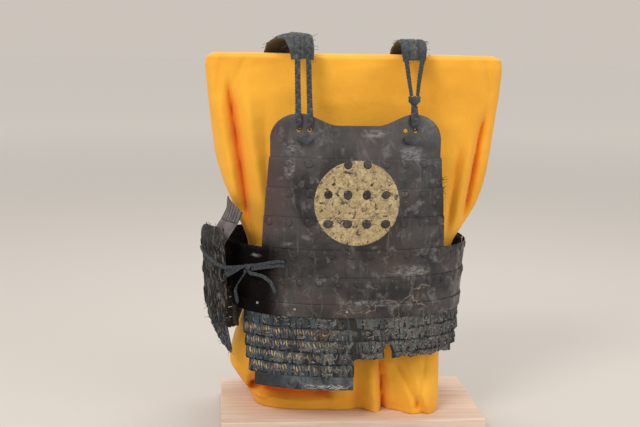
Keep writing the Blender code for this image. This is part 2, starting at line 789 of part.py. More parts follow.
def hole_points(x):
    """Three points of a lace that goes into a hole of the chest plate, with half widths."""
    turn = turn_at(x, LACE_HOLE_HEIGHT)
    outer = body_point(turn, LACE_HOLE_HEIGHT, 0.0075) + Vector((0, 0, 0.0035))
    return [
        (*outer, 0.0030),
        (*body_point(turn, LACE_HOLE_HEIGHT, 0.0040), LACE_IN_HOLE),
        (*body_point(turn, LACE_HOLE_HEIGHT, -0.0060), LACE_IN_HOLE),
    ]


def add_lace(name, hole, table):
    """A flat lace: a thin closed strip that follows the table's points, then goes into its hole."""
    rows = list(table) + (hole_points(hole) if hole else [])
    points = [Vector(row[:3]) for row in rows]
    bm = bmesh.new()
    rings = []
    for k, row in enumerate(rows):
        ahead = (points[min(k + 1, len(points) - 1)] - points[max(k - 1, 0)]).normalized()
        side = (Vector((1, 0, 0)) - ahead * ahead.x).normalized()
        through = ahead.cross(side).normalized() * SHOULDER_LACE_THICK / 2
        corners = ((-1, -1), (1, -1), (1, 1), (-1, 1))
        rings.append([bm.verts.new(points[k] + side * row[3] * a + through * b) for a, b in corners])
    for low, high in zip(rings, rings[1:]):
        for k in range(4):
            after = (k + 1) % 4
            bm.faces.new((low[k], low[after], high[after], high[k]))
    bm.faces.new(rings[0])
    bm.faces.new(list(reversed(rings[-1])))
    bmesh.ops.recalc_face_normals(bm, faces=bm.faces)
    return add_object(name, bm, CORD)


def add_knot(name, x, y, height, across, through, up):
    bm = bmesh.new()
    bmesh.ops.create_uvsphere(bm, u_segments=10, v_segments=6, radius=1.0)
    bmesh.ops.scale(bm, vec=(across, through, up), verts=bm.verts)
    knot = add_object(name, bm, CORD)
    knot.location = (x, y, height)
    return knot


def add_tube(name, points, radius):
    """A round cord along a list of points, closed at both ends."""
    fine = []
    for k in range(len(points) - 1):
        before = points[max(k - 1, 0)]
        a, b = points[k], points[k + 1]
        after = points[min(k + 2, len(points) - 1)]
        for step in range(2):
            t = step / 2
            fine.append(
                0.5 * (2 * a + (b - before) * t + (2 * before - 5 * a + 4 * b - after) * t ** 2
                       + (3 * a - before - 3 * b + after) * t ** 3)
            )
    fine.append(points[-1])
    curve = bpy.data.curves.new(name, "CURVE")
    curve.dimensions = "3D"
    curve.bevel_depth = radius
    curve.bevel_resolution = 2
    curve.use_fill_caps = True
    spline = curve.splines.new("POLY")
    spline.points.add(len(fine) - 1)
    for place, point in zip(spline.points, fine):
        place.co = (*point, 1)
    curve.materials.append(CORD)
    thing = bpy.data.objects.new(name, curve)
    PARTS.objects.link(thing)
    return thing


def add_side_tie():
    """The cord that holds the open side: strands on the front, a knot, and one strand to the wing."""
    clear = PLATE + 0.0022 + TIE_RADIUS + 2 * GAP
    for name, table in TIE_CORDS:
        points = [body_point(math.radians(turn), height, clear + off) for turn, height, off in table]
        add_tube(name, points, TIE_RADIUS)
    for name, table in TIE_LOOSE_CORDS:
        add_tube(name, [Vector(point) for point in table], TIE_RADIUS)
    path = [Vector(point) for point in WING_STRAND_START]
    for turn, height, off in WING_STRAND:
        path.append(body_point(math.radians(turn), height, WING_FLARE + clear + off))
    add_tube("side_tie_wing_strand", path, TIE_RADIUS)


def add_stand():
    board = (BASE_WIDTH, BASE_DEPTH, BASE_THICK)
    add_box("base_board", board, (0.005, -0.018, BASE_THICK / 2), WOOD, BASE_BEVEL)
    bar_top = STAND_TOP - COVER_WALL - 3 * GAP
    bar_centre = bar_top - BAR_HEIGHT / 2
    add_box("shoulder_bar", (BAR_WIDTH, BAR_DEPTH, BAR_HEIGHT), (0.008, 0, bar_centre), WOOD, BAR_BEVEL)
    post_height = bar_top - BAR_HEIGHT - BASE_THICK - 2 * GAP
    post_centre = BASE_THICK + GAP + post_height / 2
    post = (POST_WIDTH, POST_DEPTH, post_height)
    add_box("stand_post", post, (0.008, 0, post_centre), WOOD, BASE_BEVEL)


def fold_depth(x, height, front):
    """How far the folds draw the cover in at that place."""
    total = 0.0
    for face, x_top, x_bottom, top, bottom, half, depth in COVER_FOLDS:
        if face != front:
            continue
        share = (height - bottom) / (top - bottom)
        if not 0 <= share <= 1.0:
            continue
        centre = x_bottom + (x_top - x_bottom) * share
        if top > 0.3:
            ends = smooth(share / 0.25) * smooth((1 - share) / 0.25)
        else:
            ends = smooth((1 - share) / 0.5)
        total += depth * ends * math.exp(-(((x - centre) / half) ** 2))
    return total


def cover_point(turn, section):
    height, right, left, front, back = section
    side, ahead = math.sin(turn), math.cos(turn)
    power = 2 / COVER_SQUARENESS
    x = (left if side >= 0 else right) * math.copysign(abs(side) ** power, side)
    y = -(front if ahead >= 0 else back) * math.copysign(abs(ahead) ** power, ahead)
    face = 1 if y < 0 else -1
    inwards = fold_depth(x, height, face) * min(1.0, abs(y) / 0.05)
    return Vector((x, y + face * inwards, height))


def add_cover():
    """The cotton cover: a closed bag over the bar, open at the hem."""
    bm = bmesh.new()
    rings = []
    for section in COVER_SECTIONS:
        turns = [2 * math.pi * k / COVER_COLUMNS for k in range(COVER_COLUMNS)]
        rings.append([bm.verts.new(cover_point(turn, section)) for turn in turns])
    for low, high in zip(rings, rings[1:]):
        for k in range(COVER_COLUMNS):
            after = (k + 1) % COVER_COLUMNS
            bm.faces.new((low[k], low[after], high[after], high[k]))
    bm.faces.new(rings[-1])
    cover = add_object("stand_cover", bm, YELLOW)
    wall = cover.modifiers.new("cloth", "SOLIDIFY")
    wall.thickness = COVER_WALL
    wall.offset = -1.0


def main():
    add_stand()
    add_cover()
    front_waist = add_front()
    back_waist, wing = add_back()
    add_underarm_plate(wing)
    add_hinge()
    add_skirt_panel("right", RIGHT_PANEL_ROWS, -64.5, -0.12, front_waist)
    add_skirt_panel("left", LEFT_PANEL_ROWS, 0.12, 80.0, front_waist)
    add_back_skirts(back_waist)
    add_side_fragments(front_waist, back_waist)
    add_strap("right_shoulder_strap", RIGHT_STRAP)
    add_strap("left_shoulder_strap", LEFT_STRAP)
    for name, hole, table in LACES:
        add_lace(name, hole, table)
    for knot in KNOTS:
        add_knot(*knot)
    add_side_tie()


if __name__ == "__main__":
    main()
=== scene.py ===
import math

import bpy
import numpy as np
from mathutils import Matrix


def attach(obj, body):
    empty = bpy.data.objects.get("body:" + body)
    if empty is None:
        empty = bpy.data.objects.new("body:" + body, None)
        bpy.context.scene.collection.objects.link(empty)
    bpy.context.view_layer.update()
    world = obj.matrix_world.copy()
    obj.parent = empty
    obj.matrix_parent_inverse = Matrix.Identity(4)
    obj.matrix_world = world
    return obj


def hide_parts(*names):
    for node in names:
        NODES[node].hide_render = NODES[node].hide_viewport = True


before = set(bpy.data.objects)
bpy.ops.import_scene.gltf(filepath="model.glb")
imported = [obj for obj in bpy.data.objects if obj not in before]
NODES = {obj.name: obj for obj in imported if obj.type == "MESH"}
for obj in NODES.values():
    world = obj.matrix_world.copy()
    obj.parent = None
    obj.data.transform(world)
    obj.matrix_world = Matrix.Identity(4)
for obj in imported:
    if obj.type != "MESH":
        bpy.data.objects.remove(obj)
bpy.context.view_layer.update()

RANDOM = np.random.default_rng(11)

# Camera: its place, and the turns that give the photograph's view
EYE = (-0.2392, -2.0360, 0.7160)
HEADING = math.radians(5.28)
PITCH = math.radians(9.17)
ROLL = math.radians(0.95)
LENS = 61.875

# The sizes of the solids, in metres
GAP = 0.0003
PLATE = 0.0015
OVERLAP = 0.018
OVAL = 2.3
WAIST_BOTTOM = 0.221
SEAMS = (0.2448, 0.2939, 0.3444, 0.4015, 0.4529, 0.5056)
FRONT_OPEN_EDGE = math.radians(-92)
FRONT_HINGE_EDGE = math.radians(89.6)
BACK_HINGE_EDGE = math.radians(90.4)
BACK_OPEN_EDGE = math.radians(302)
WING_FLARE = 0.050
WING_FLARE_FROM = math.radians(180)
WING_FLARE_TO = math.radians(268)
WING_RISE = 0.034
WING_RISE_FROM = math.radians(262)
WING_RISE_TO = math.radians(288)
LOWEST_LEAN = 0.0031
NECK_HEIGHT = 0.563
SHOULDER_HEIGHT = 0.5828
BACK_NECK_HEIGHT = 0.632
BACK_SHOULDER_HEIGHT = 0.642
CHEST_EDGE = 0.1505
BACK_EDGE = 0.1360
RIVET_RADIUS = 0.0066
RIVET_RISE = 0.0017
RIVET_PITCH = 0.0336
RIVET_BELOW_EDGE = 0.0098
CHEST_RIVET_HEIGHT = 0.5387
CHEST_RIVET_SHIFT = 0.0201
LACE_HOLE_HEIGHT = 0.5545
LACE_HOLES = (0.0835, 0.1020)
SKIRT_TOP = 0.2000
SKIRT_PITCH = 0.0213
SKIRT_LAME = 0.0235
SKIRT_PLATE = 0.0015
SKIRT_IN = 0.0082
SKIRT_FLARE = 0.16
SKIRT_LEAN = 0.0022
LACE_RISE = 0.0022
HANGER_TOP = WAIST_BOTTOM + 0.0045
NOTCH_LEFT = 0.054
NOTCH_RIGHT = 0.068
BACK_ROW_PITCH = 0.0221
NOTCH_TOP = 0.1735

# The plain gold-leaf disc that takes the crest's place
GOLD_HEIGHT = 0.428
GOLD_RADIUS = 0.075

# height, half width, reach to the front, reach to the back
BODY_SECTIONS = np.array((
    (WAIST_BOTTOM, 0.2135, 0.1450, 0.1370),
    (SEAMS[0], 0.2145, 0.1450, 0.1372),
    (SEAMS[1], 0.2170, 0.1458, 0.1382),
    (SEAMS[2], 0.2195, 0.1475, 0.1400),
    (SEAMS[3], 0.2205, 0.1500, 0.1400),
    (SEAMS[4], 0.2205, 0.1495, 0.1380),
    (SEAMS[5], 0.2200, 0.1455, 0.1330),
    (BACK_SHOULDER_HEIGHT, 0.2180, 0.1290, 0.1120),
))

# height, half width of the breast
BREAST_OUTLINE = np.array((
    (SEAMS[2] - OVERLAP, 0.1640),
    (SEAMS[2], 0.1635),
    (SEAMS[3], 0.1600),
    (SEAMS[4], 0.1560),
    (SEAMS[5], 0.1515),
))


# Camera, light and floor

LIT_POINT = (0.0, 0.0, 0.38)
FLOOR_RADIUS = 30.0
FLOOR_SIDES = 96


def add_object(name, data):
    made = bpy.data.objects.new(name, data)
    bpy.context.scene.collection.objects.link(made)
    return made


def set_axes(thing, x, y, z, place):
    """Turns an object's own axes to x, y and z, and sets it at place."""
    thing.matrix_world = Matrix([(x[k], y[k], z[k], place[k]) for k in range(3)] + [(0, 0, 0, 1)])


def make_camera():
    level = math.cos(PITCH)
    ahead = np.array((math.sin(HEADING) * level, math.cos(HEADING) * level, -math.sin(PITCH)))
    right = np.array((math.cos(HEADING), -math.sin(HEADING), 0.0))
    up = np.cross(right, ahead)
    across = right * math.cos(ROLL) + up * math.sin(ROLL)
    above = up * math.cos(ROLL) - right * math.sin(ROLL)
    data = bpy.data.cameras.new("camera")
    data.lens = LENS
    data.sensor_width = 36.0
    camera = add_object("camera", data)
    set_axes(camera, across, above, -ahead, EYE)
    bpy.context.scene.camera = camera


def add_light(name, place, size, power, colour):
    """A round area light at place, turned to the middle of the cuirass."""
    data = bpy.data.lights.new(name, "AREA")
    data.shape = "DISK"
    data.size = size
    data.energy = power
    data.color = colour
    z = np.array(place, float) - np.array(LIT_POINT, float)
    z /= np.linalg.norm(z)
    x = np.cross((0, 0, 1), z)
    x /= np.linalg.norm(x)
    set_axes(add_object(name, data), x, np.cross(z, x), z, place)


def make_surroundings():
    """A pale floor painted lighter further out as painted light, an even pale background and soft studio light."""
    turns = 2 * math.pi * np.arange(FLOOR_SIDES) / FLOOR_SIDES
    ring = [(FLOOR_RADIUS * math.cos(t), FLOOR_RADIUS * math.sin(t), 0.0) for t in turns]
    floor_mesh = bpy.data.meshes.new("floor")
    floor_mesh.from_pydata(ring, [], [tuple(range(FLOOR_SIDES))])
    m = Material("pale_floor")
    # painted light: the floor is painted lighter further from the middle, standing in for even light where the lamps
    # fall off
    m.colour = m.blend(m.ease(m.length(m.places()), 0.4, 7.0), (0.600, 0.560, 0.515), (0.980, 0.930, 0.860))
    floor_mesh.materials.append(m.finish(0.9))
    add_object("floor", floor_mesh)
    world = bpy.data.worlds.new("studio")
    bpy.context.scene.world = world
    m = Nodes(world)
    background = m.tree.nodes["Background"].inputs
    seen = m.node("LightPath").outputs["Is Camera Ray"]
    m.feed(background["Color"], m.blend(seen, (0.600, 0.585, 0.570), (0.600, 0.552, 0.500)))
    background["Strength"].default_value = 1.0
    add_light("key", (-1.5, -1.9, 2.6), 1.3, 46.0, (1.0, 0.97, 0.93))
    add_light("fill", (2.2, -1.8, 1.3), 1.8, 20.0, (0.96, 0.98, 1.0))
    add_light("top", (0.2, 0.9, 2.6), 1.6, 30.0, (1.0, 0.98, 0.95))


# Short ways to make materials


class Nodes:
    """A node tree, with short ways to add nodes to it."""

    def __init__(self, owner):
        owner.use_nodes = True
        self.tree = owner.node_tree

    def feed(self, socket, value):
        if isinstance(value, bpy.types.NodeSocket):
            self.tree.links.new(value, socket)
        else:
            socket.default_value = value

    def node(self, kind, sockets=None, **settings):
        made = self.tree.nodes.new("ShaderNode" + kind)
        for key, value in settings.items():
            setattr(made, key, value)
        for socket, value in (sockets or {}).items():
            self.feed(made.inputs[socket], value)
        return made

    def places(self, scale=(1, 1, 1), turn=(0, 0, 0)):
        """Object coordinates, scaled and turned."""
        where = self.node("TexCoord").outputs["Object"]
        return self.node("Mapping", {"Vector": where, "Scale": scale, "Rotation": turn}).outputs["Vector"]

    def parts(self, vector):
        return self.node("SeparateXYZ", {"Vector": vector}).outputs

    def noise(self, where, scale, detail=3.0, roughness=0.55, distortion=0.0):
        sockets = {"Vector": where, "Scale": scale, "Detail": detail, "Roughness": roughness, "Distortion": distortion}
        return self.node("TexNoise", sockets).outputs["Fac"]

    def ease(self, value, low, high, start=0.0, end=1.0):
        """Maps low..high to start..end with soft ends."""
        sockets = {"Value": value, "From Min": low, "From Max": high, "To Min": start, "To Max": end}
        return self.node("MapRange", sockets, interpolation_type="SMOOTHSTEP").outputs["Result"]

    def maths(self, kind, a, b=0.0):
        return self.node("Math", {0: a, 1: b}, operation=kind).outputs[0]

    def plus(self, a, b):
        return self.maths("ADD", a, b)

    def minus(self, a, b):
        return self.maths("SUBTRACT", a, b)

    def times(self, a, b):
        return self.maths("MULTIPLY", a, b)

    def most(self, a, b):
        return self.maths("MAXIMUM", a, b)

    def length(self, vector):
        return self.node("VectorMath", {0: vector}, operation="LENGTH").outputs["Value"]

    def tint(self):
        """The mesh's own colour at each point."""
        return self.node("VertexColor", layer_name="tint").outputs["Color"]

    def blend(self, factor, a, b):
        """Colour a where factor is 0, and colour b where it is 1."""
        made = self.node("Mix", {0: factor}, data_type="RGBA")
        for socket, value in ((6, a), (7, b)):
            self.feed(made.inputs[socket], value if isinstance(value, bpy.types.NodeSocket) else (*value, 1))
        return made.outputs[2]


class Material(Nodes):
    """A new material, whose colour is painted on in layers."""

    def __init__(self, name):
        self.made = bpy.data.materials.new(name)
        super().__init__(self.made)

    def paint(self, factor, tone):
        self.colour = self.blend(factor, self.colour, tone)

    def finish(self, roughness, bump=None, **levels):
        """Feeds the shader. bump is height, strength and distance, and levels are its sockets with _ for a space."""
        inputs = self.tree.nodes["Principled BSDF"].inputs
        self.feed(inputs["Base Color"], self.colour)
        self.feed(inputs["Roughness"], roughness)
        for socket, value in levels.items():
            self.feed(inputs[socket.replace("_", " ")], value)
        if bump:
            made = self.node("Bump", dict(zip(("Height", "Strength", "Distance"), bump)))
            self.feed(inputs["Normal"], made.outputs["Normal"])
        return self.made


# Materials

BLACK_LACQUER = (0.007, 0.006, 0.006)
GREY_LACQUER = (0.052, 0.045, 0.044)
BROWN_PATCH = (0.066, 0.043, 0.038)
GREY_PATCH = (0.150, 0.136, 0.134)
STREAK = (0.115, 0.100, 0.094)
RUBBED_AND_HIGHLIGHT = (0.380, 0.365, 0.360)
CRACK = (0.310, 0.262, 0.205)
TAN_PATCH = (0.165, 0.140, 0.112)
UPPER_PAINTED_LIGHT = (0.112, 0.104, 0.101)
RED_RIM = (0.085, 0.042, 0.040)
SHADE_BLACK = (0.004, 0.003, 0.003)
HIGHLIGHT_AND_SCUFF_TONE = (0.270, 0.258, 0.262)
RUST_DARK = (0.016, 0.014, 0.013)
RUST_LIGHT = (0.140, 0.122, 0.108)
RUST_PIT = (0.022, 0.019, 0.018)
LEAF_DEEP = (0.400, 0.290, 0.135)
LEAF_BRIGHT = (0.600, 0.470, 0.250)
LEAF_DIRT = (0.240, 0.170, 0.080)
TINT_SHADE_BLACK = (0.008, 0.007, 0.007)
COTTON_DEEP = (0.820, 0.360, 0.028)
COTTON = (0.950, 0.455, 0.040)
COTTON_THREAD = (0.980, 0.560, 0.090)
COTTON_CREASE_SHADE = (0.885, 0.250, 0.006)
FIBRE_SHADOW = (0.020, 0.022, 0.024)
DUST = (0.300, 0.285, 0.265)
LAME_DARK = (0.022, 0.024, 0.028)
LAME_LIGHT = (0.125, 0.140, 0.155)
LAME_SPOT = (0.480, 0.470, 0.455)
LAME_GRAIN = 42.0
LAVENDER_DARK = (0.115, 0.092, 0.094)
LAVENDER = (0.205, 0.172, 0.176)
GROOVE_SHADE = (0.030, 0.024, 0.025)
GROOVE_TOP = 0.385

# painted highlights where the lacquer shines, and one pale scuff low at the wearer's right: x, height, half width, half
# height
HIGHLIGHT_AND_SCUFF_SPOTS = (
    (0.028, 0.5500, 0.038, 0.0100), (-0.117, 0.5250, 0.014, 0.0180), (-0.118, 0.4880, 0.013, 0.0260),
    (0.098, 0.5140, 0.030, 0.0180), (-0.174, 0.3270, 0.013, 0.0050), (0.030, 0.2480, 0.060, 0.0080),
    (0.095, 0.3050, 0.050, 0.0140),
)


def iron_material(name, gold=False, corroded=False, tinted=True):
    """Dark worn lacquer over iron: grey and brown patches, pale rubbed spots that also serve as painted highlights,
    fine pale cracks, painted light from above, painted highlights and painted shade.
    """
    m = Material(name)
    where = m.places()
    x, y, z = m.parts(where)
    tint = m.parts(m.tint())[0] if tinted else 0.5
    in_front = m.maths("LESS_THAN", y, 0.0)
    middle = m.noise(where, 46.0, 5.0, 0.62, 0.3)
    fine = m.noise(where, 310.0, 4.0, 0.6)
    m.colour = m.blend(m.ease(m.noise(where, 14.0, 4.0, 0.6, 0.4), 0.38, 0.64), BLACK_LACQUER, GREY_LACQUER)
    m.paint(m.ease(m.noise(where, 9.0, 3.0, 0.5, 0.8), 0.46, 0.66, 0.0, 0.65), BROWN_PATCH)
    m.paint(m.ease(middle, 0.54, 0.70, 0.0, 0.85), GREY_PATCH)
    streaks = m.noise(m.places((1.0, 1.0, 0.22), (0, 0.35, 0)), 90.0, 5.0, 0.65, 0.7)
    m.paint(m.ease(streaks, 0.56, 0.68, 0.0, 0.55), STREAK)
    # pale rubbed spots, which also serve as painted highlights
    rubs_and_highlights = m.ease(m.noise(m.places((1.0, 1.0, 2.2)), 64.0, 6.0, 0.7, 0.6), 0.66, 0.74)
    m.paint(m.times(rubs_and_highlights, 0.70), RUBBED_AND_HIGHLIGHT)

    # cracks in patches, most of them low on the wearer's left
    stir = m.node("TexNoise", {"Vector": where, "Scale": 30.0, "Detail": 3.0}).outputs["Color"]
    stirred = m.node("VectorMath", {0: stir, 1: (0.045, 0.045, 0.045), 2: where}, operation="MULTIPLY_ADD").outputs[0]
    cells = m.node("TexVoronoi", {"Vector": stirred, "Scale": 21.0}, feature="DISTANCE_TO_EDGE").outputs["Distance"]
    low_part = m.times(m.ease(z, 0.345, 0.29), m.ease(x, -0.06, 0.06, 0.25, 1.0))
    patch = m.times(low_part, m.ease(m.noise(where, 17.0, 3.0), 0.46, 0.60))
    patch = m.most(patch, m.ease(m.noise(where, 7.0, 4.0), 0.62, 0.70, 0.0, 0.6))
    crack = m.times(m.ease(cells, 0.030, 0.004), patch)
    m.paint(m.times(crack, 0.62), CRACK)
    m.paint(m.times(patch, m.ease(middle, 0.45, 0.65, 0.0, 0.35)), TAN_PATCH)

    # the upper part painted lighter, painted light from above, a red rim at the wearer's right, and painted shade under
    # the open edge
    m.paint(m.ease(z, 0.450, 0.550, 0.0, 0.34), UPPER_PAINTED_LIGHT)
    m.paint(m.times(m.ease(x, -0.112, -0.150, 0.0, 0.6), m.ease(z, 0.352, 0.385)), RED_RIM)
    shade = m.times(m.ease(x, -0.112, -0.158), m.ease(z, 0.362, 0.335))
    m.paint(m.times(shade, 0.93), SHADE_BLACK)
    # painted highlights on the lacquer, and the one pale scuff, on the front only
    highlight_and_scuff = 0.0
    for spot_x, spot_z, wide, tall in HIGHLIGHT_AND_SCUFF_SPOTS:
        over = m.maths("DIVIDE", m.minus(x, spot_x), wide)
        up = m.maths("DIVIDE", m.minus(z, spot_z), tall)
        away = m.length(m.node("CombineXYZ", {"X": over, "Y": up}).outputs[0])
        highlight_and_scuff = m.most(highlight_and_scuff, m.ease(away, 1.0, 0.35))
    ripples = m.noise(m.places((1.0, 1.0, 2.6), (0, 0.25, 0)), 74.0, 5.0, 0.6, 0.9)
    highlight_and_scuff = m.times(highlight_and_scuff, m.ease(ripples, 0.40, 0.66, 0.0, 0.75))
    m.paint(m.times(highlight_and_scuff, in_front), HIGHLIGHT_AND_SCUFF_TONE)

    roughness = m.most(m.ease(m.noise(where, 24.0, 5.0, 0.65, 0.5), 0.36, 0.64, 0.20, 0.62), shade)
    height = m.plus(m.times(middle, 0.55), m.times(fine, 0.16))
    height = m.minus(height, m.times(crack, 0.30))
    if corroded:
        rust = m.ease(m.noise(m.places((1.0, 1.0, 0.55)), 95.0, 7.0, 0.75, 0.8), 0.46, 0.60)
        m.colour = m.blend(rust, RUST_DARK, RUST_LIGHT)
        m.paint(m.ease(fine, 0.50, 0.64, 0.0, 0.8), RUST_PIT)
        height = m.plus(height, m.times(rust, 1.1))
        roughness = 0.85
    if gold:
        off = m.node("CombineXYZ", {"X": x, "Y": 0.0, "Z": m.minus(z, GOLD_HEIGHT)}).outputs[0]
        away = m.plus(m.length(off), m.times(m.noise(where, 260.0, 4.0, 0.7), 0.0016))
        disc = m.times(m.ease(away, GOLD_RADIUS + 0.0013, GOLD_RADIUS + 0.0003), in_front)
        worn = m.ease(m.noise(where, 80.0, 8.0, 0.78, 0.4), 0.535, 0.60)
        specks = m.ease(m.noise(where, 420.0, 3.0, 0.7), 0.60, 0.66)
        kept = m.minus(1.0, m.most(worn, m.times(specks, 0.75)))
        clear = m.ease(m.plus(tint, m.times(fine, 0.2)), 0.555, 0.585)
        leaf = m.blend(m.ease(m.noise(where, 60.0, 6.0, 0.7), 0.35, 0.68), LEAF_DEEP, LEAF_BRIGHT)
        leaf = m.blend(m.ease(m.noise(where, 150.0, 5.0, 0.7), 0.48, 0.60, 0.0, 0.6), leaf, LEAF_DIRT)
        share = m.times(m.times(disc, kept), clear)
        m.paint(share, leaf)
        roughness = m.plus(roughness, m.times(share, 0.10))
        height = m.plus(height, m.times(share, 0.20))
    # painted shade: where the tint is low, on the plates' inner faces and round the rivets' feet, the lacquer is
    # painted near black
    if tinted:
        m.paint(m.ease(tint, 0.45, 0.05), TINT_SHADE_BLACK)
    return m.finish(roughness, (height, 0.85, 0.0021), Specular_IOR_Level=m.minus(0.52, m.times(shade, 0.44)))


def cloth_material():
    """Plain orange-yellow cotton: fine weave, soft wrinkles, and painted shade where its tint marks a crease."""
    m = Material("yellow_cotton_cloth")
    m.colour = m.blend(m.ease(m.noise(m.places(), 7.0, 3.0, 0.5, 0.5), 0.30, 0.70), COTTON_DEEP, COTTON)
    weave = m.plus(*(m.noise(m.places(scale), 95.0, 2.0, 0.5) for scale in ((1.0, 1.0, 14.0), (14.0, 1.0, 1.0))))
    m.paint(m.ease(weave, 0.75, 1.25, 0.0, 0.16), COTTON_THREAD)
    wrinkles = m.noise(m.places((1.0, 1.0, 1.6)), 26.0, 4.0, 0.6, 1.1)
    height = m.plus(m.times(weave, 0.10), m.times(wrinkles, 0.9))
    # painted shade in the creases and the hem's tuck, read from the tint
    m.paint(m.ease(m.parts(m.tint())[0], 0.55, 1.0, 0.0, 0.72), COTTON_CREASE_SHADE)
    return m.finish(0.88, (height, 0.30, 0.0035), Sheen_Weight=0.12, Specular_IOR_Level=0.2)


def strand_material(name, roughness=0.85, lift=1.0, fibre=520.0, lustre=0.0):
    """Old silk or hemp: each strand has its own colour, with fine fibres and dust."""
    m = Material(name)
    where = m.places()
    fine = m.noise(where, fibre, 4.0, 0.65)
    dust = m.noise(where, 60.0, 5.0, 0.65)
    m.colour = m.tint()
    m.paint(m.ease(fine, 0.35, 0.68, 0.0, 0.55), FIBRE_SHADOW)
    m.paint(m.ease(dust, 0.54, 0.72, 0.0, 0.32 * lift), DUST)
    return m.finish(roughness, (m.plus(fine, m.times(dust, 0.6)), 0.55, 0.0008), Sheen_Weight=lustre)


def lame_material():
    """The skirt's bare bottom lame: grey iron with pale spots, dark towards the wearer's right."""
    m = Material("bare_lame")
    where = m.places()
    patches = m.noise(where, LAME_GRAIN, 6.0, 0.68, 0.8)
    fine = m.noise(where, LAME_GRAIN * 6.0, 4.0, 0.7)
    m.colour = m.blend(m.ease(patches, 0.36, 0.66), LAME_DARK, LAME_LIGHT)
    m.paint(m.ease(m.noise(where, LAME_GRAIN * 1.7, 6.0, 0.7), 0.60, 0.70, 0.0, 0.7), LAME_SPOT)
    m.paint(m.ease(fine, 0.50, 0.72, 0.0, 0.5), LAME_DARK)
    m.paint(m.ease(m.parts(where)[0], -0.108, -0.134, 0.0, 0.8), LAME_DARK)
    return m.finish(0.92, (m.plus(patches, m.times(fine, 0.45)), 0.8, 0.0012))


def underarm_material():
    """Dull lavender-grey iron with fine upright grooves in its upper part, painted dark in the grooves as painted
    shade.
    """
    m = Material("lavender_plate")
    where = m.places()
    x, y, z = m.parts(where)
    across = m.minus(m.minus(m.times(x, 0.57), m.times(y, 0.82)), m.times(z, 0.12))
    grooves = m.ease(m.maths("SINE", m.times(across, 640.0)), 0.35, 0.80)
    upper = m.ease(z, GROOVE_TOP - 0.003, GROOVE_TOP + 0.003)
    line = m.ease(m.maths("ABSOLUTE", m.minus(z, GROOVE_TOP)), 0.0012, 0.0004)
    cut = m.most(m.times(grooves, upper), line)
    patches = m.noise(where, 60.0, 5.0, 0.65)
    m.colour = m.blend(m.ease(patches, 0.35, 0.65), LAVENDER_DARK, LAVENDER)
    # painted shade in the grooves and along the line at their foot
    m.paint(m.times(cut, 0.95), GROOVE_SHADE)
    return m.finish(0.7, (m.minus(m.times(patches, 0.3), cut), 0.8, 0.0010))


def wood_material(name, dark, light):
    """Planed wood, with the grain along X."""
    m = Material(name)
    grain = m.noise(m.places((0.35, 6.0, 6.0)), 16.0, 6.0, 0.62, 0.25)
    wave = {"Vector": m.places((0.10, 1.0, 1.0)), "Scale": 9.0, "Distortion": 5.0, "Detail": 3.0, "Detail Scale": 1.4}
    rings = m.node("TexWave", wave, wave_type="BANDS", bands_direction="Y").outputs["Fac"]
    pores = m.noise(m.places((0.06, 2.2, 2.2)), 260.0, 3.0, 0.6)
    m.colour = m.blend(m.ease(grain, 0.30, 0.70), dark, light)
    m.paint(m.ease(rings, 0.2, 0.9, 0.0, 0.22), dark)
    m.paint(m.ease(pores, 0.60, 0.72, 0.0, 0.25), tuple(c * 0.62 for c in dark))
    return m.finish(0.5, (m.plus(pores, m.times(grain, 0.5)), 0.2, 0.0005))


# Forms

MIDDLE_TINT = (0.5, 0.5, 0.5)
# the plates' inner faces get a dark tint, which the iron paints as painted shade
INSIDE_SHADE_TINT = (0.08, 0.08, 0.08)

# radius, rise and tint of a rivet's rings, from its skirt to near its top; the low tints give painted shade round the
# rivet's foot
RIVET_RINGS = (
    (1.22, -0.55, 0.34), (1.20, 0.04, 0.36), (1.04, 0.07, 0.22), (1.01, 0.22, 0.20),
    (0.95, 0.50, 0.30), (0.80, 0.78, 0.38), (0.58, 0.93, 0.40), (0.30, 0.99, 0.40),
)
RIVET_SIDES = 20
RIVET_TOP_TINT = 0.40
DRILL_SIDES = 24
HOLE_RADIUS = 0.0038
BACK_FOOT_EDGE = 0.158


def body(height, column):
    """A measure of the body at a height: half width (1), reach to the front (2) or to the back (3)."""
    return np.interp(height, BODY_SECTIONS[:, 0], BODY_SECTIONS[:, column])


def signed_power(value, power):
    return np.copysign(np.abs(value) ** power, value)


def oval(turn, height, off):
    """Points of the body's oval, and of its walls off outwards."""
    turn, height, off = np.broadcast_arrays(np.asarray(turn, float), height, off)
    side, ahead = np.sin(turn), np.cos(turn)
    half = body(height, 1)
    reach = np.where(ahead >= 0, body(height, 2), body(height, 3))
    x = half * signed_power(side, 2 / OVAL)
    y = -reach * signed_power(ahead, 2 / OVAL)
    slope_x = signed_power(x / half, OVAL - 1) / half
    slope_y = signed_power(y / reach, OVAL - 1) / reach
    length = np.sqrt(slope_x ** 2 + slope_y ** 2)
    return np.stack([x + slope_x / length * off, y + slope_y / length * off, height + 0 * x], -1)


def turn_at(x, height, back=False):
    share = np.minimum(1.0, np.abs(x) / body(height, 1))
    turn = np.copysign(np.arcsin(share ** (OVAL / 2)), x)
    return math.pi - turn if back else turn


def smooth(value):
    value = np.clip(value, 0.0, 1.0)
    return value * value * (3 - 2 * value)


def wing_share(turn):
    return smooth((turn - WING_FLARE_FROM) / (WING_FLARE_TO - WING_FLARE_FROM))


def lean_of(height):
    return (PLATE + 2.2 * GAP) / (1 - OVERLAP / height)


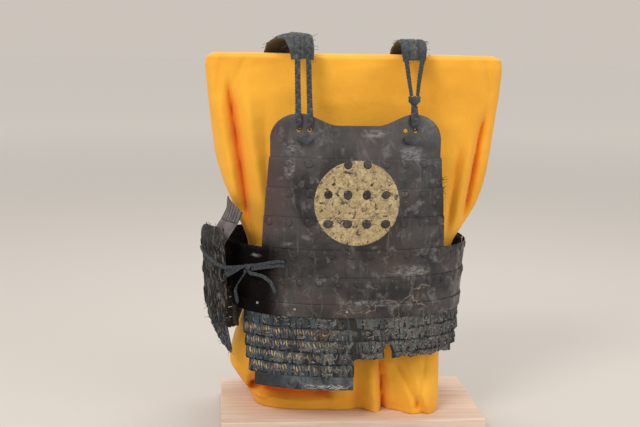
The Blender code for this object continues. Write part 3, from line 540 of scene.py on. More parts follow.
def bumps(points, size, seed):
    """Smooth random heights from -1 to 1 at points, with features of that size."""
    p = np.asarray(points, float) / size + seed * 7.31
    cell = np.floor(p)
    part = p - cell
    part = part * part * (3 - 2 * part)

    def at(i, j, k):
        seeded = (cell[..., 0] + i) * 127.1 + (cell[..., 1] + j) * 311.7 + (cell[..., 2] + k) * 74.7 + seed
        value = np.sin(seeded) * 43758.5453
        return value - np.floor(value)

    a, b, c = part[..., 0], part[..., 1], part[..., 2]
    low = (at(0, 0, 0) * (1 - a) + at(1, 0, 0) * a) * (1 - b) + (at(0, 1, 0) * (1 - a) + at(1, 1, 0) * a) * b
    high = (at(0, 0, 1) * (1 - a) + at(1, 0, 1) * a) * (1 - b) + (at(0, 1, 1) * (1 - a) + at(1, 1, 1) * a) * b
    return (low * (1 - c) + high * c) * 2 - 1


class Mesh:
    """Collects points, faces and a colour for each point, then makes one object."""

    def __init__(self):
        self.points, self.faces, self.tints, self.count = [], [], [], 0

    def add(self, points, faces, tint=MIDDLE_TINT):
        points = np.asarray(points, float).reshape(-1, 3)
        self.points.append(points)
        self.faces.extend(tuple(int(i) + self.count for i in face) for face in faces)
        colours = np.ones((len(points), 4))
        colours[:, :3] = tint
        self.tints.append(colours)
        self.count += len(points)

    def ring_grid(self, grid, tint):
        """Faces between points of shape (columns, rows, 3), closed round from the last column to the first."""
        columns, rows = grid.shape[:2]
        faces = []
        for i in range(columns):
            after = (i + 1) % columns
            for j in range(rows - 1):
                faces.append((i * rows + j, after * rows + j, after * rows + j + 1, i * rows + j + 1))
        self.add(grid, faces, tint)

    def shell(self, inner, outer, tint=MIDDLE_TINT, within=None):
        """A closed wall between two grids of the same shape. within is its inner face's colour."""
        columns, rows = inner.shape[:2]
        size = columns * rows
        faces = []
        for i in range(columns - 1):
            for j in range(rows - 1):
                face = (i * rows + j, (i + 1) * rows + j, (i + 1) * rows + j + 1, i * rows + j + 1)
                faces.append(tuple(k + size for k in face))
                faces.append(face[::-1])
        rim = [(i, 0) for i in range(columns)] + [(columns - 1, j) for j in range(1, rows)]
        rim += [(i, rows - 1) for i in range(columns - 2, -1, -1)] + [(0, j) for j in range(rows - 2, 0, -1)]
        flat = [i * rows + j for i, j in rim]
        for a, b in zip(flat, flat[1:] + flat[:1]):
            faces.append((a, b, b + size, a + size))
        tints = np.repeat(np.array([tint if within is None else within, tint]), size, axis=0)
        self.add(np.concatenate([inner.reshape(-1, 3), outer.reshape(-1, 3)]), faces, tints)

    def tube(self, line, side, half_width, half_thick, tint, sides=8):
        """A closed strand along line, with its width along side."""
        line = np.asarray(line, float)
        count = len(line)
        ahead = np.gradient(line, axis=0)
        ahead /= np.maximum(np.linalg.norm(ahead, axis=1, keepdims=True), 1e-12)
        side = np.broadcast_to(np.asarray(side, float), line.shape)
        side = side - ahead * (side * ahead).sum(1, keepdims=True)
        side = side / np.maximum(np.linalg.norm(side, axis=1, keepdims=True), 1e-12)
        through = np.cross(ahead, side)
        half_width = np.broadcast_to(half_width, (count,))
        half_thick = np.broadcast_to(half_thick, (count,))
        turns = 2 * math.pi * np.arange(sides) / sides
        rings = (line[:, None] + side[:, None] * (half_width[:, None] * np.cos(turns))[..., None]
                 + through[:, None] * (half_thick[:, None] * np.sin(turns))[..., None])
        faces = []
        for i in range(count - 1):
            for k in range(sides):
                after = (k + 1) % sides
                faces.append((i * sides + k, (i + 1) * sides + k, (i + 1) * sides + after, i * sides + after)[::-1])
        faces.append(tuple(range(sides))[::-1])
        faces.append(tuple((count - 1) * sides + k for k in range(sides)))
        self.add(rings, faces, tint)

    def make(self, name, material, angle=50.0):
        points = np.concatenate(self.points)
        mesh = bpy.data.meshes.new(name)
        mesh.from_pydata(points.tolist(), [], self.faces)
        layer = mesh.color_attributes.new("tint", "FLOAT_COLOR", "POINT")
        layer.data.foreach_set("color", np.concatenate(self.tints).ravel())
        mesh.materials.append(material)
        mesh.shade_smooth()
        mesh.set_sharp_from_angle(angle=math.radians(angle))
        return add_object(name, mesh)


def place_piece(piece, slot, *nodes):
    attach(piece, "root")
    if nodes:
        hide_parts(*nodes)
    return piece


def normal_at(surface, turn, height):
    around = surface(turn + 0.01, height, 0) - surface(turn - 0.01, height, 0)
    up = surface(turn, height + 0.003, 0) - surface(turn, height - 0.003, 0)
    out = np.cross(around, up)
    return out / np.linalg.norm(out), up / np.linalg.norm(up)


def hammer(turn, height):
    """The plates' slight unevenness, the same for every plate at a place, so that none meets its neighbour."""
    base = oval(turn, height, 0)
    return 0.00055 * bumps(base, 0.047, 3) + 0.00022 * bumps(base, 0.019, 5)


def add_rivet(mesh, surface, turn, height):
    """A low domed head with a small uneven skirt, seated in the plate."""
    out, up = normal_at(surface, turn, height)
    side = np.cross(up, out)
    middle = surface(turn, height, PLATE + float(hammer(turn, height)))
    turns = 2 * math.pi * np.arange(RIVET_SIDES) / RIVET_SIDES
    wobble = 1 + 0.05 * np.sin(turns * 2 + RANDOM.uniform(0, 6))
    size = RIVET_RADIUS * RANDOM.uniform(0.95, 1.04)
    points, faces = [], []
    for radius, rise, _ in RIVET_RINGS:
        spread = size * radius * wobble
        around = middle + (np.cos(turns) * spread)[:, None] * side + (np.sin(turns) * spread)[:, None] * up
        points.append(around + out * RIVET_RISE * rise)
    points = np.concatenate(points + [[middle + out * RIVET_RISE]])
    after = [(k + 1) % RIVET_SIDES for k in range(RIVET_SIDES)]
    for ring in range(len(RIVET_RINGS) - 1):
        low, high = ring * RIVET_SIDES, (ring + 1) * RIVET_SIDES
        faces += [(low + k, low + after[k], high + after[k], high + k) for k in range(RIVET_SIDES)]
    top = (len(RIVET_RINGS) - 1) * RIVET_SIDES
    faces += [(top + k, top + after[k], top + RIVET_SIDES) for k in range(RIVET_SIDES)]
    faces.append(tuple(range(RIVET_SIDES))[::-1])
    tints = np.repeat([ring[2] for ring in RIVET_RINGS], RIVET_SIDES)
    mesh.add(points, faces, np.append(tints, RIVET_TOP_TINT)[:, None])


def along_turns(height, first, last, pitch, start=None, margin=0.012):
    """Turns one pitch apart along the oval, counted both ways from start."""
    fine = np.linspace(first, last, 400)
    steps = np.linalg.norm(np.diff(oval(fine, height, 0), axis=0), axis=1)
    along = np.concatenate(([0.0], np.cumsum(steps)))
    centre = np.interp(start if start is not None else (first + last) / 2, fine, along)
    place = centre - pitch * math.floor((centre - margin) / pitch)
    found = []
    while place < along[-1] - margin:
        found.append(float(np.interp(place, along, fine)))
        place += pitch
    return found


def edged(count):
    """Shares from 0 to 1 with a close pair at each end, for a softened edge."""
    return np.concatenate(([0.0, 0.012], np.linspace(0.03, 0.97, count), [0.988, 1.0]))


def softened(shares, rows):
    """How much of the wall's thickness is left at the softened edges."""
    a = 1 - 0.45 * (1 - smooth(np.minimum(shares, 1 - shares) / 0.012))
    b = 1 - 0.45 * (1 - smooth(np.minimum(rows, 1 - rows) / 0.05))
    return np.minimum(a[:, None], b[None, :])


def wall(mesh, place, columns, rows, thickness):
    """A plate whose inner face is place(u, v, off), softened at its edges."""
    us, vs = edged(columns), np.concatenate(([0.0, 0.02], np.linspace(0.06, 0.94, rows), [0.98, 1.0]))
    u, v = np.meshgrid(us, vs, indexing="ij")
    thick = thickness * softened(us, vs)
    # the inner face takes the dark tint of painted shade
    mesh.shell(place(u, v, thickness - thick), place(u, v, thick), within=INSIDE_SHADE_TINT)


def add_waist_plate(name, bottom, top, first, last, opens, rivet_start, material):
    lowest = bottom == WAIST_BOTTOM
    foot = PLATE + 2 * GAP if lowest else 0.0
    lean = LOWEST_LEAN if lowest else lean_of(top - bottom)
    rise = WING_RISE if opens and top == SEAMS[2] else 0.0

    def surface(turn, height, off):
        share = np.minimum(1.0, (height - bottom) / (top - bottom))
        stand_off = foot + (lean - foot) * share + (WING_FLARE * wing_share(turn) if opens else 0)
        return oval(turn, height, off + stand_off)

    def place(u, v, off):
        turn = first + (last - first) * u
        risen = smooth((turn - WING_RISE_FROM) / (WING_RISE_TO - WING_RISE_FROM))
        height = bottom + (top + rise * risen - bottom) * v
        return surface(turn, height, off + hammer(turn, height))

    mesh = Mesh()
    wall(mesh, place, 130, 9, PLATE)
    if rivet_start is not None:
        height = top - RIVET_BELOW_EDGE
        for turn in along_turns(height, first, last, RIVET_PITCH, rivet_start):
            add_rivet(mesh, surface, turn, height)
    place_piece(mesh.make(name + "_worn", material), "lacquered_iron", name)
    return surface


def neck_line(x, neck, shoulder, corner_from, corner_to, drop):
    across = np.abs(x)
    rise = (shoulder - neck) * smooth((across - 0.034) / 0.064)
    corner = np.clip((across - corner_from) / (corner_to - corner_from), 0.0, 1.0)
    return neck + rise - drop * (1 - np.sqrt(1 - corner ** 2))


def chest_top(x):
    return neck_line(x, NECK_HEIGHT, SHOULDER_HEIGHT, 0.100, CHEST_EDGE + 0.0005, 0.048)


def back_top(x):
    return neck_line(x, BACK_NECK_HEIGHT, BACK_SHOULDER_HEIGHT, 0.100, BACK_EDGE + 0.0005, 0.060)


def add_breast_plate(name, seam, rivet_height, rivet_places, material):
    low, bottom = SEAMS[seam - 1], SEAMS[seam - 1] - OVERLAP
    shaped = seam == len(SEAMS)
    top = SHOULDER_HEIGHT if shaped else SEAMS[seam]
    lean = lean_of(top - bottom)

    def surface(turn, height, off):
        return oval(turn, height, off + lean * np.minimum(1.0, (height - bottom) / (top - bottom)))

    def place(u, v, off):
        share = np.sin((2 * u - 1) * math.pi / 2)
        if shaped:
            upper = np.clip((v - 0.2) / 0.8, 0, 1)
            x = share * np.where(v < 0.2, np.interp(low, *BREAST_OUTLINE.T), CHEST_EDGE)
            edge = chest_top(x)
            height = np.where(v < 0.2, bottom + (low - bottom) * v / 0.2, low + (edge - low) * upper)
        else:
            height = bottom + (top - bottom) * v
            x = share * np.interp(height, *BREAST_OUTLINE.T)
        turn = turn_at(x, height)
        return surface(turn, height, off + hammer(turn, height))

    mesh = Mesh()
    wall(mesh, place, 110, 22 if shaped else 10, PLATE)
    for x in rivet_places:
        add_rivet(mesh, surface, float(turn_at(x, rivet_height)), rivet_height)
    piece = mesh.make(name + "_worn", material)
    if shaped:
        drill_holes(piece, surface)
    place_piece(piece, "lacquered_iron", name)


def drill_holes(piece, surface):
    """Cuts the four lace holes through the chest plate."""
    drill = Mesh()
    turns = 2 * math.pi * np.arange(DRILL_SIDES) / DRILL_SIDES
    after = [(k + 1) % DRILL_SIDES for k in range(DRILL_SIDES)]
    faces = [(k, after[k], DRILL_SIDES + after[k], DRILL_SIDES + k) for k in range(DRILL_SIDES)]
    faces += [tuple(range(DRILL_SIDES))[::-1], tuple(range(DRILL_SIDES, 2 * DRILL_SIDES))]
    for side in (-1, 1):
        for x in LACE_HOLES:
            turn = float(turn_at(side * x, LACE_HOLE_HEIGHT))
            out, up = normal_at(surface, turn, LACE_HOLE_HEIGHT)
            across = np.cross(up, out)
            middle = surface(turn, LACE_HOLE_HEIGHT, 0)
            ring = np.cos(turns)[:, None] * across * HOLE_RADIUS + np.sin(turns)[:, None] * up * HOLE_RADIUS
            drill.add(np.concatenate([middle - out * 0.01 + ring, middle + out * 0.01 + ring]), faces)
    cutter = drill.make("drill", piece.data.materials[0])
    step = piece.modifiers.new("holes", "BOOLEAN")
    step.operation, step.solver, step.object = "DIFFERENCE", "EXACT", cutter
    evaluated = piece.evaluated_get(bpy.context.evaluated_depsgraph_get())
    mesh = bpy.data.meshes.new_from_object(evaluated)
    piece.modifiers.clear()
    piece.data = mesh
    bpy.data.objects.remove(cutter)


def rivet_row(count, shift=0.0):
    return [RIVET_PITCH * (k - (count - 1) / 2) + shift for k in range(count)]


def add_front_plates(plain, gilded):
    """The front's seven plates. Returns the surface of the lowest."""
    front = (FRONT_OPEN_EDGE, FRONT_HINGE_EDGE, False)
    lowest = add_waist_plate("front_waist_3", WAIST_BOTTOM, SEAMS[0], *front, None, plain)
    add_waist_plate("front_waist_2", SEAMS[0] - OVERLAP, SEAMS[1], *front, float(turn_at(0.0036, SEAMS[1])), plain)
    add_waist_plate("front_waist_1", SEAMS[1] - OVERLAP, SEAMS[2], *front, float(turn_at(-0.0090, SEAMS[2])), gilded)
    for number, seam, rivets in ((3, 3, 10), (2, 4, 8), (1, 5, 8)):
        add_breast_plate(f"front_breast_{number}", seam, SEAMS[seam] - RIVET_BELOW_EDGE, rivet_row(rivets), gilded)
    add_breast_plate("front_chest", len(SEAMS), CHEST_RIVET_HEIGHT, rivet_row(4, CHEST_RIVET_SHIFT), plain)
    return lowest


def add_back_plates(plain, rough):
    """The back's three waist plates and the plain plate above them. Returns the surface of the lowest."""
    back = (BACK_HINGE_EDGE, BACK_OPEN_EDGE, True)
    lowest = add_waist_plate("back_waist_3", WAIST_BOTTOM, SEAMS[0], *back, None, rough)
    add_waist_plate("back_waist_2", SEAMS[0] - OVERLAP, SEAMS[1], *back, math.pi, rough)
    wing = add_waist_plate("back_waist_1", SEAMS[1] - OVERLAP, SEAMS[2], *back, math.pi, rough)
    levels = (SEAMS[2] - OVERLAP, *SEAMS[2:])

    def place(u, v, off):
        x = -np.sin((2 * u - 1) * math.pi / 2) * (BACK_FOOT_EDGE + (BACK_EDGE - BACK_FOOT_EDGE) * v)
        below = np.interp(v * 5, (0, 1, 2, 3, 4), levels)
        height = np.where(v * 5 <= 4, below, SEAMS[5] + (back_top(x) - SEAMS[5]) * (v * 5 - 4))
        turn = turn_at(x, height, True)
        inner = wing(turn, height, off - PLATE - 2 * GAP)
        upper = oval(turn, height, off - PLATE)
        share = smooth((height - SEAMS[2]) / 0.03)[..., None]
        return inner * (1 - share) + upper * share

    mesh = Mesh()
    wall(mesh, place, 100, 30, PLATE)
    place_piece(mesh.make("back_plate_worn", plain), "lacquered_iron", "back_plate")
    return lowest


def dress(name, material):
    """Gives a solid of the frame a new material and smooth shading, and leaves its shape."""
    mesh = NODES[name].data
    mesh.materials.clear()
    mesh.materials.append(material)
    mesh.shade_smooth()
    mesh.set_sharp_from_angle(angle=math.radians(35))


# The laced skirt


def skirt_surface(turn, height, off, flare=0.0):
    """The skirt's wall, which spreads as it goes down."""
    spread = SKIRT_FLARE * np.maximum(0.0, WAIST_BOTTOM - height)
    return oval(turn, height, off - SKIRT_IN + spread + flare)


BLUES = ((0.055, 0.090, 0.120), (0.066, 0.104, 0.116), (0.084, 0.112, 0.112), (0.042, 0.062, 0.086))
GREYS = ((0.105, 0.114, 0.106), (0.142, 0.138, 0.126), (0.086, 0.092, 0.088), (0.112, 0.116, 0.102))
SPECKS = (
    (0.230, 0.215, 0.190), (0.290, 0.255, 0.220), (0.090, 0.072, 0.060), (0.260, 0.170, 0.155),
    (0.050, 0.046, 0.044), (0.130, 0.150, 0.145), (0.360, 0.330, 0.290),
)
STITCHES = ((0.560, 0.430, 0.240), (0.640, 0.450, 0.190), (0.460, 0.370, 0.240), (0.360, 0.190, 0.110))
GROUND = (0.016, 0.018, 0.019)
REDDISH = (0.200, 0.150, 0.140)
STAIN = (0.130, 0.080, 0.050)
BARE_STITCH = (0.110, 0.105, 0.095)
SCUFF = (0.620, 0.600, 0.570)
SLANTED = (0.4, 0.1, 0.9)
SPECKS_PER_LACE = 5
LACE_OFF = 0.0011


def varied(colour, low=0.72, high=1.22):
    """A colour made darker or lighter at random."""
    return np.array(colour) * RANDOM.uniform(low, high)


def pick(colours, low=0.72, high=1.22):
    return varied(colours[int(RANDOM.integers(len(colours)))], low, high)


def x_at(turn):
    return float(oval(turn, WAIST_BOTTOM, 0)[0])


def fade_of(x):
    """How bright the blue and the yellow have stayed: most at the wearer's right."""
    return float(np.interp(x, (-0.20, -0.12, -0.06, 0.0, 0.20), (1.0, 0.95, 0.58, 0.16, 0.06)))


def group_of(x, top):
    """How light a clump of laces is: some clumps are worn away to the dark ground."""
    return 0.22 + 1.12 * float(smooth(0.5 + 0.75 * bumps(np.array((x, top * 2.2, 0.0)), 0.013, 21)))


def stained(x, top):
    """Whether a place lies in the brown stain near the middle of the first row."""
    return abs(x + 0.059) < 0.015 and abs(top - SKIRT_TOP) < 0.001


def along_row(place, turn, top):
    """The way along a row at a turn."""
    return place(turn + 0.02, top, 0) - place(turn - 0.02, top, 0)


def add_ground(mesh, place, first, last, top, low):
    """The dark wall behind a row of laces."""
    steps, rows = np.linspace(first, last, 90), np.array((1.0, 0.66, 0.33, 0.0))
    bottoms = np.array([low(turn) for turn in steps])[:, None]
    heights = bottoms + (np.maximum(top, bottoms + 0.0005) - bottoms) * rows
    around = steps[:, None] + 0 * heights
    mesh.shell(place(around, heights, -0.0009), place(around, heights, -0.0003), GROUND)


def add_skirt_lace(mesh, place, turn, top, low, width, disorder):
    """One hanging lace, now and then missing."""
    x = x_at(turn)
    bottom = low(turn) + RANDOM.uniform(-0.0004, 0.0022)
    if bottom > top - 0.003 or RANDOM.random() < 0.05:
        return
    fade = fade_of(x)
    slant = RANDOM.normal(0, 0.010 * disorder)
    steps = np.linspace(0, 1, 6)
    heights = top + RANDOM.uniform(-0.0022, 0.0008) - (top - bottom) * steps
    bulge = 0.0004 * np.sin(math.pi * steps) + RANDOM.uniform(-0.0003, 0.0003)
    line = place(turn + slant * (steps - 0.3), heights, bulge)
    colour = pick(BLUES) * fade + pick(GREYS) * (1 - fade)
    if RANDOM.random() < 0.02 + 0.06 * (1 - fade):
        colour = varied(REDDISH, 0.6, 1.2)
    colour = colour * group_of(x, top)
    if stained(x, top):
        colour = varied(STAIN, 0.5, 1.1)
    wide = width * 0.5 * RANDOM.uniform(0.90, 1.18)
    mesh.tube(line, along_row(place, turn, top), wide * (1 - 0.12 * np.sin(math.pi * steps)), 0.0010, colour, 8)


def add_specks(mesh, place, first, last, top, low, lowest, count):
    """Short pale and dark fibres at any slant, fewer where the blue has stayed."""
    for _ in range(count):
        turn = RANDOM.uniform(first + 0.045, last - 0.045)
        height = RANDOM.uniform(lowest + 0.002, top - 0.002)
        if height < low(turn) + 0.001 or RANDOM.random() < 0.55 * fade_of(x_at(turn)):
            continue
        span = np.linspace(-0.5, 0.5, 4)
        way = RANDOM.uniform(0, math.pi)
        long = RANDOM.uniform(0.0020, 0.0065)
        line = place(turn + span * long / 0.16 * math.cos(way), height + span * long * math.sin(way), 0.0010)
        mesh.tube(line, SLANTED, 0.0009, 0.0006, pick(SPECKS, 0.6, 1.2), 5)


def add_stitch(mesh, place, turn, top, low):
    """One slanted stitch over the upper half of a lace, now and then missing."""
    x = x_at(turn)
    if low(turn) > top - 0.012 or stained(x, top):
        return
    fade = fade_of(x)
    if RANDOM.random() > 0.95 - 0.45 * (1 - fade):
        return
    span = np.linspace(0, 1, 6)
    lean = 0.013 * (1 if RANDOM.random() < 0.9 else -1) + RANDOM.normal(0, 0.003)
    start = top - RANDOM.uniform(0.0004, 0.0046)
    long = RANDOM.uniform(0.0085, 0.0115)
    rise = 0.0015 * np.sin(math.pi * span) ** 0.7 - 0.0002
    line = place(turn + lean * (span - 0.5), start - long * span, rise)
    bright = max(0.10, fade * RANDOM.uniform(0.55, 1.15))
    colour = pick(STITCHES) * bright + np.array(BARE_STITCH) * (1 - min(1.0, bright))
    colour = colour * (0.4 + 0.6 * group_of(x, top))
    half_width = 0.00145 * np.sin(math.pi * np.clip(span, 0.12, 0.88)) ** 0.5
    mesh.tube(line, along_row(place, turn, top), half_width, 0.0008, colour, 6)


def add_row_of_laces(mesh, place, ends, top, low, width, disorder, stitched):
    """A dark ground, laces side by side from top to low, specks and, if stitched, slanted stitches. ends in degrees."""
    first, last = math.radians(ends[0]), math.radians(ends[1])
    level = (top + SKIRT_TOP) / 2
    add_ground(mesh, place, first, last, top, low)
    turns = along_turns(level, first, last, width, margin=width * 0.5)
    for turn in turns:
        add_skirt_lace(mesh, place, turn, top, low, width, disorder)
    lowest = min(low(turn) for turn in turns)
    add_specks(mesh, place, first, last, top, low, lowest, len(turns) * SPECKS_PER_LACE)
    if stitched:
        for turn in along_turns(level, first, last, width * 0.92, margin=width * 0.5):
            add_stitch(mesh, place, turn, top, low)


def ragged_edge(turn, low, top):
    """The lower edge of a row at the wearer's left: cut out at the notch, and wavy beyond it."""
    x = x_at(turn)
    if NOTCH_LEFT < x < NOTCH_RIGHT and top > NOTCH_TOP:
        return max(low, NOTCH_TOP)
    return low + 0.004 * math.sin(x * 90) ** 2 if x > NOTCH_RIGHT and low < 0.15 else low


# label, ends in degrees, lowest height
RIGHT_ROWS = (("1", -64.0, 0.05, 0.0), ("2", -60.5, 0.05, 0.0), ("3", -58.0, 0.05, 0.0), ("4", -54.0, 0.05, 0.0))
LEFT_ROWS = (
    ("1", 0.12, 74.0, 0.0), ("2", 0.12, 64.0, 0.0), ("3_inner", 0.12, 11.9, 0.147), ("3_outer", 15.6, 56.0, 0.147),
)

# side, its rows, the ends of its hanging laces, widths of hanging laces and of the rows' laces, the rows' disorder
SKIRT_SIDES = (
    ("right", RIGHT_ROWS, (-64.5, 0.05), 0.0060, 0.0054, 1.6),
    ("left", LEFT_ROWS, (0.12, 80.0), 0.0066, 0.0060, 2.8),
)


def hanging(turn, height, off):
    """The wall of the hanging laces, from inside the waist plate to over the first row."""
    share = np.asarray(smooth((WAIST_BOTTOM + 0.001 - height) / 0.016))[..., None]
    high = oval(turn, height, -LACE_RISE - 2 * GAP + 0.0021)
    low = skirt_surface(turn, height, SKIRT_LEAN + SKIRT_PLATE + 2 * GAP)
    return (high * (1 - share) + low * share) + (oval(turn, height, off + LACE_OFF) - oval(turn, height, 0))


def add_scuffs(mesh):
    """Pale scratches along the foot of the right panel's last row."""
    for _ in range(46):
        turn, height = math.radians(RANDOM.uniform(-20.0, -1.6)), RANDOM.uniform(0.0935, 0.1010)
        span = np.linspace(-0.5, 0.5, 4)
        line = skirt_surface(turn + span * 0.03, height + span * RANDOM.normal(0, 0.003), 0.0022)
        mesh.tube(line, SLANTED, 0.0006, 0.0004, varied(SCUFF, 0.4, 1.0), 5)


def add_skirt_row(side, label, ends, lowest, width, disorder, silk):
    top = SKIRT_TOP - (int(label[0]) - 1) * SKIRT_PITCH
    foot = top - SKIRT_LAME
    edge = max(top - SKIRT_PITCH + 0.0008, lowest)

    def place(turn, height, off):
        lean = SKIRT_LEAN * (height - foot) / SKIRT_LAME
        return skirt_surface(turn, height, lean + SKIRT_PLATE + 2 * GAP + LACE_OFF + off)

    def low(turn):
        return ragged_edge(turn, edge, top) if side == "left" else edge

    mesh = Mesh()
    add_row_of_laces(mesh, place, ends, top, low, width, disorder, True)
    if label == "4":
        add_scuffs(mesh)
    name = f"{side}_skirt_laces_{label}"
    place_piece(mesh.make(f"{name}_strands", silk), "lacing", name)


def add_skirts(iron, silk):
    for side, rows, ends, hanging_width, width, disorder in SKIRT_SIDES:
        mesh = Mesh()
        top = HANGER_TOP - 0.0010
        add_row_of_laces(mesh, hanging, ends, top, lambda turn: SKIRT_TOP + 0.0010, hanging_width, 1.6, False)
        place_piece(mesh.make(f"{side}_hanging_lace_strands", silk), "lacing", f"{side}_skirt_hanging_laces")
        for label, first, last, lowest in rows:
            add_skirt_row(side, label, (first, last), lowest, width, disorder, silk)
    for name in NODES:
        if "_skirt_plate_" in name:
            dress(name, iron)
    dress("right_skirt_plate_5", lame_material())


# Straps, laces, ties and torn lacing

# x at the middle, y (0 for a place on the back plate), height, half width, drop of the outer edge
RIGHT_STRAP = (
    (-0.118, 0.0, 0.600, 0.030, 0.0), (-0.120, 0.0, 0.6455, 0.030, 0.0), (-0.123, 0.0945, 0.6525, 0.030, 0.0),
    (-0.126, 0.0765, 0.6650, 0.031, 0.0), (-0.126, 0.0520, 0.6800, 0.032, 0.0), (-0.121, 0.0200, 0.7050, 0.031, -0.008),
    (-0.109, -0.0200, 0.7165, 0.028, -0.006), (-0.100, -0.0560, 0.7110, 0.025, -0.002),
    (-0.096, -0.0820, 0.6930, 0.022, 0.0), (-0.095, -0.0920, 0.6740, 0.020, 0.0),
)
LEFT_STRAP = (
    (0.112, 0.0, 0.600, 0.028, 0.0), (0.112, 0.0, 0.6455, 0.028, 0.0), (0.110, 0.0955, 0.6525, 0.028, 0.0),
    (0.108, 0.0775, 0.6650, 0.027, 0.0), (0.108, 0.0520, 0.6800, 0.026, 0.0), (0.108, 0.0200, 0.6990, 0.025, 0.0),
    (0.108, -0.0200, 0.7075, 0.024, 0.0), (0.107, -0.0560, 0.7050, 0.023, 0.0), (0.105, -0.0800, 0.6900, 0.022, 0.0),
    (0.104, -0.0900, 0.6740, 0.020, 0.0),
)
STRAP_THICK = 0.004
STRAP_CROWN = 0.002
STRAP_COLUMNS = 31
STRAP_ROWS = 100
STRAP_TINT = (0.060, 0.066, 0.062)
TIE_RADIUS = 0.0026
TIE_RISE = 0.0022
UPRIGHT = (0, 0, 1)
ACROSS = (1, 0, 0)
WING_SIDE = (0.6, -0.8, 0)
FELT = ((0.085, 0.092, 0.084), (0.060, 0.068, 0.064), (0.125, 0.122, 0.105), (0.045, 0.050, 0.048))
CORD_TONES = ((0.026, 0.033, 0.040), (0.038, 0.048, 0.056), (0.054, 0.064, 0.072), (0.042, 0.036, 0.043))
TORN_TONES = ((0.034, 0.031, 0.029), (0.014, 0.013, 0.013), (0.190, 0.172, 0.152), (0.060, 0.084, 0.112))
TORN_GROUND = (0.012, 0.012, 0.013)
CRUST_TONES = ((0.012, 0.011, 0.010), (0.022, 0.020, 0.019), (0.125, 0.112, 0.098), (0.008, 0.007, 0.007))
DARK_FIBRES = CRUST_TONES[:2]
NAIL_HEAD = (0.420, 0.400, 0.370)

# name, x of its hole, points of its line with half widths
LACES = (
    ("right_lace_outer", -0.1020, (
        (-0.1045, -0.0605, 0.7178, 0.0058), (-0.1042, -0.0880, 0.6987, 0.0058), (-0.1040, -0.0985, 0.6750, 0.0058),
        (-0.1040, -0.1115, 0.6360, 0.0057), (-0.1040, -0.1290, 0.5960, 0.0058), (-0.1040, -0.1405, 0.5700, 0.0062),
    )),
    ("right_lace_inner", -0.0835, (
        (-0.0855, -0.0605, 0.7178, 0.0056), (-0.0850, -0.0880, 0.6987, 0.0055), (-0.0845, -0.0985, 0.6750, 0.0054),
        (-0.0842, -0.1115, 0.6360, 0.0053), (-0.0840, -0.1315, 0.5960, 0.0056), (-0.0840, -0.1432, 0.5700, 0.0062),
    )),
    ("left_lace_inner", None, (
        (0.0900, -0.0605, 0.7118, 0.0056), (0.0895, -0.0870, 0.6957, 0.0054), (0.0895, -0.0965, 0.6750, 0.0050),
        (0.0930, -0.1090, 0.6400, 0.0042), (0.0955, -0.1215, 0.6148, 0.0036),
    )),
    ("left_lace_outer", None, (
        (0.1190, -0.0605, 0.7118, 0.0058), (0.1185, -0.0870, 0.6957, 0.0056), (0.1170, -0.0965, 0.6750, 0.0050),
        (0.1105, -0.1090, 0.6400, 0.0042), (0.1062, -0.1215, 0.6148, 0.0036),
    )),
    ("left_lace_end", 0.1020, (
        (0.1002, -0.1255, 0.5982, 0.0064), (0.0998, -0.1370, 0.5780, 0.0078), (0.1005, -0.1400, 0.5660, 0.0070),
    )),
)

# name, x, y, height, half sizes across, through and up
KNOTS = (
    ("right_lace_knot", -0.0930, -0.1423, 0.5365, 0.0155, 0.0050, 0.0062),
    ("left_lace_knot", 0.0960, -0.1418, 0.5365, 0.0160, 0.0052, 0.0066),
    ("left_lace_hitch", 0.1005, -0.1230, 0.6065, 0.0120, 0.0060, 0.0086),
    ("side_tie_knot", -0.1895, -0.1060, 0.3060, 0.0065, 0.0050, 0.0052),
)

# turn, height and clearance of the side tie's cords on the front plates
TIE_CORDS = (
    ("side_tie_upper_strand", (
        (-31.0, 0.3215, 0.0), (-36.0, 0.3195, 0.0004), (-42.0, 0.3150, 0.0010), (-47.0, 0.3110, 0.0030),
        (-51.2, 0.3090, 0.0056),
    )),
    ("side_tie_lower_strand", (
        (-31.0, 0.3140, 0.0), (-36.0, 0.3120, 0.0004), (-42.0, 0.3085, 0.0010), (-47.0, 0.3050, 0.0030),
        (-50.8, 0.3028, 0.0056),
    )),
)
TIE_LOOSE_CORDS = (
    ("side_tie_end_front", (
        (-0.1864, -0.1060, 0.3002), (-0.1838, -0.1084, 0.2950), (-0.1720, -0.1125, 0.2935),
        (-0.1600, -0.1175, 0.2895), (-0.1475, -0.1252, 0.2800), (-0.1410, -0.1292, 0.2640),
    )),
    ("side_tie_end_hanging", (
        (-0.1926, -0.1060, 0.3006), (-0.1950, -0.1065, 0.2940), (-0.2010, -0.1050, 0.2845), (-0.2085, -0.1020, 0.2710),
        (-0.2110, -0.1000, 0.2600), (-0.2090, -0.0990, 0.2500), (-0.2075, -0.0985, 0.2400),
    )),
)
WING_STRAND_START = (
    (-0.1966, -0.1072, 0.3070), (-0.2050, -0.1130, 0.3078), (-0.2165, -0.1228, 0.3088), (-0.2290, -0.1262, 0.3096),
)
WING_STRAND = ((299.5, 0.3120, 0.0034), (293.0, 0.3165, 0.0010), (284.0, 0.3225, 0.0), (276.0, 0.3285, 0.0))


def flowing(points, steps=10):
    """A smooth line through points, of any number of columns."""
    p = np.asarray(points, float)
    padded = np.concatenate((p[:1], p, p[-1:]))
    made = []
    for k in range(len(p) - 1):
        before, a, b, after = padded[k:k + 4]
        t = np.linspace(0, 1, steps, endpoint=False)[:, None]
        made.append(0.5 * (2 * a + (b - before) * t + (2 * before - 5 * a + 4 * b - after) * t ** 2
                           + (3 * a - before - 3 * b + after) * t ** 3))
    return np.concatenate(made + [p[-1:]])


def length_of(line):
    return float(np.linalg.norm(np.diff(line, axis=0), axis=1).sum())


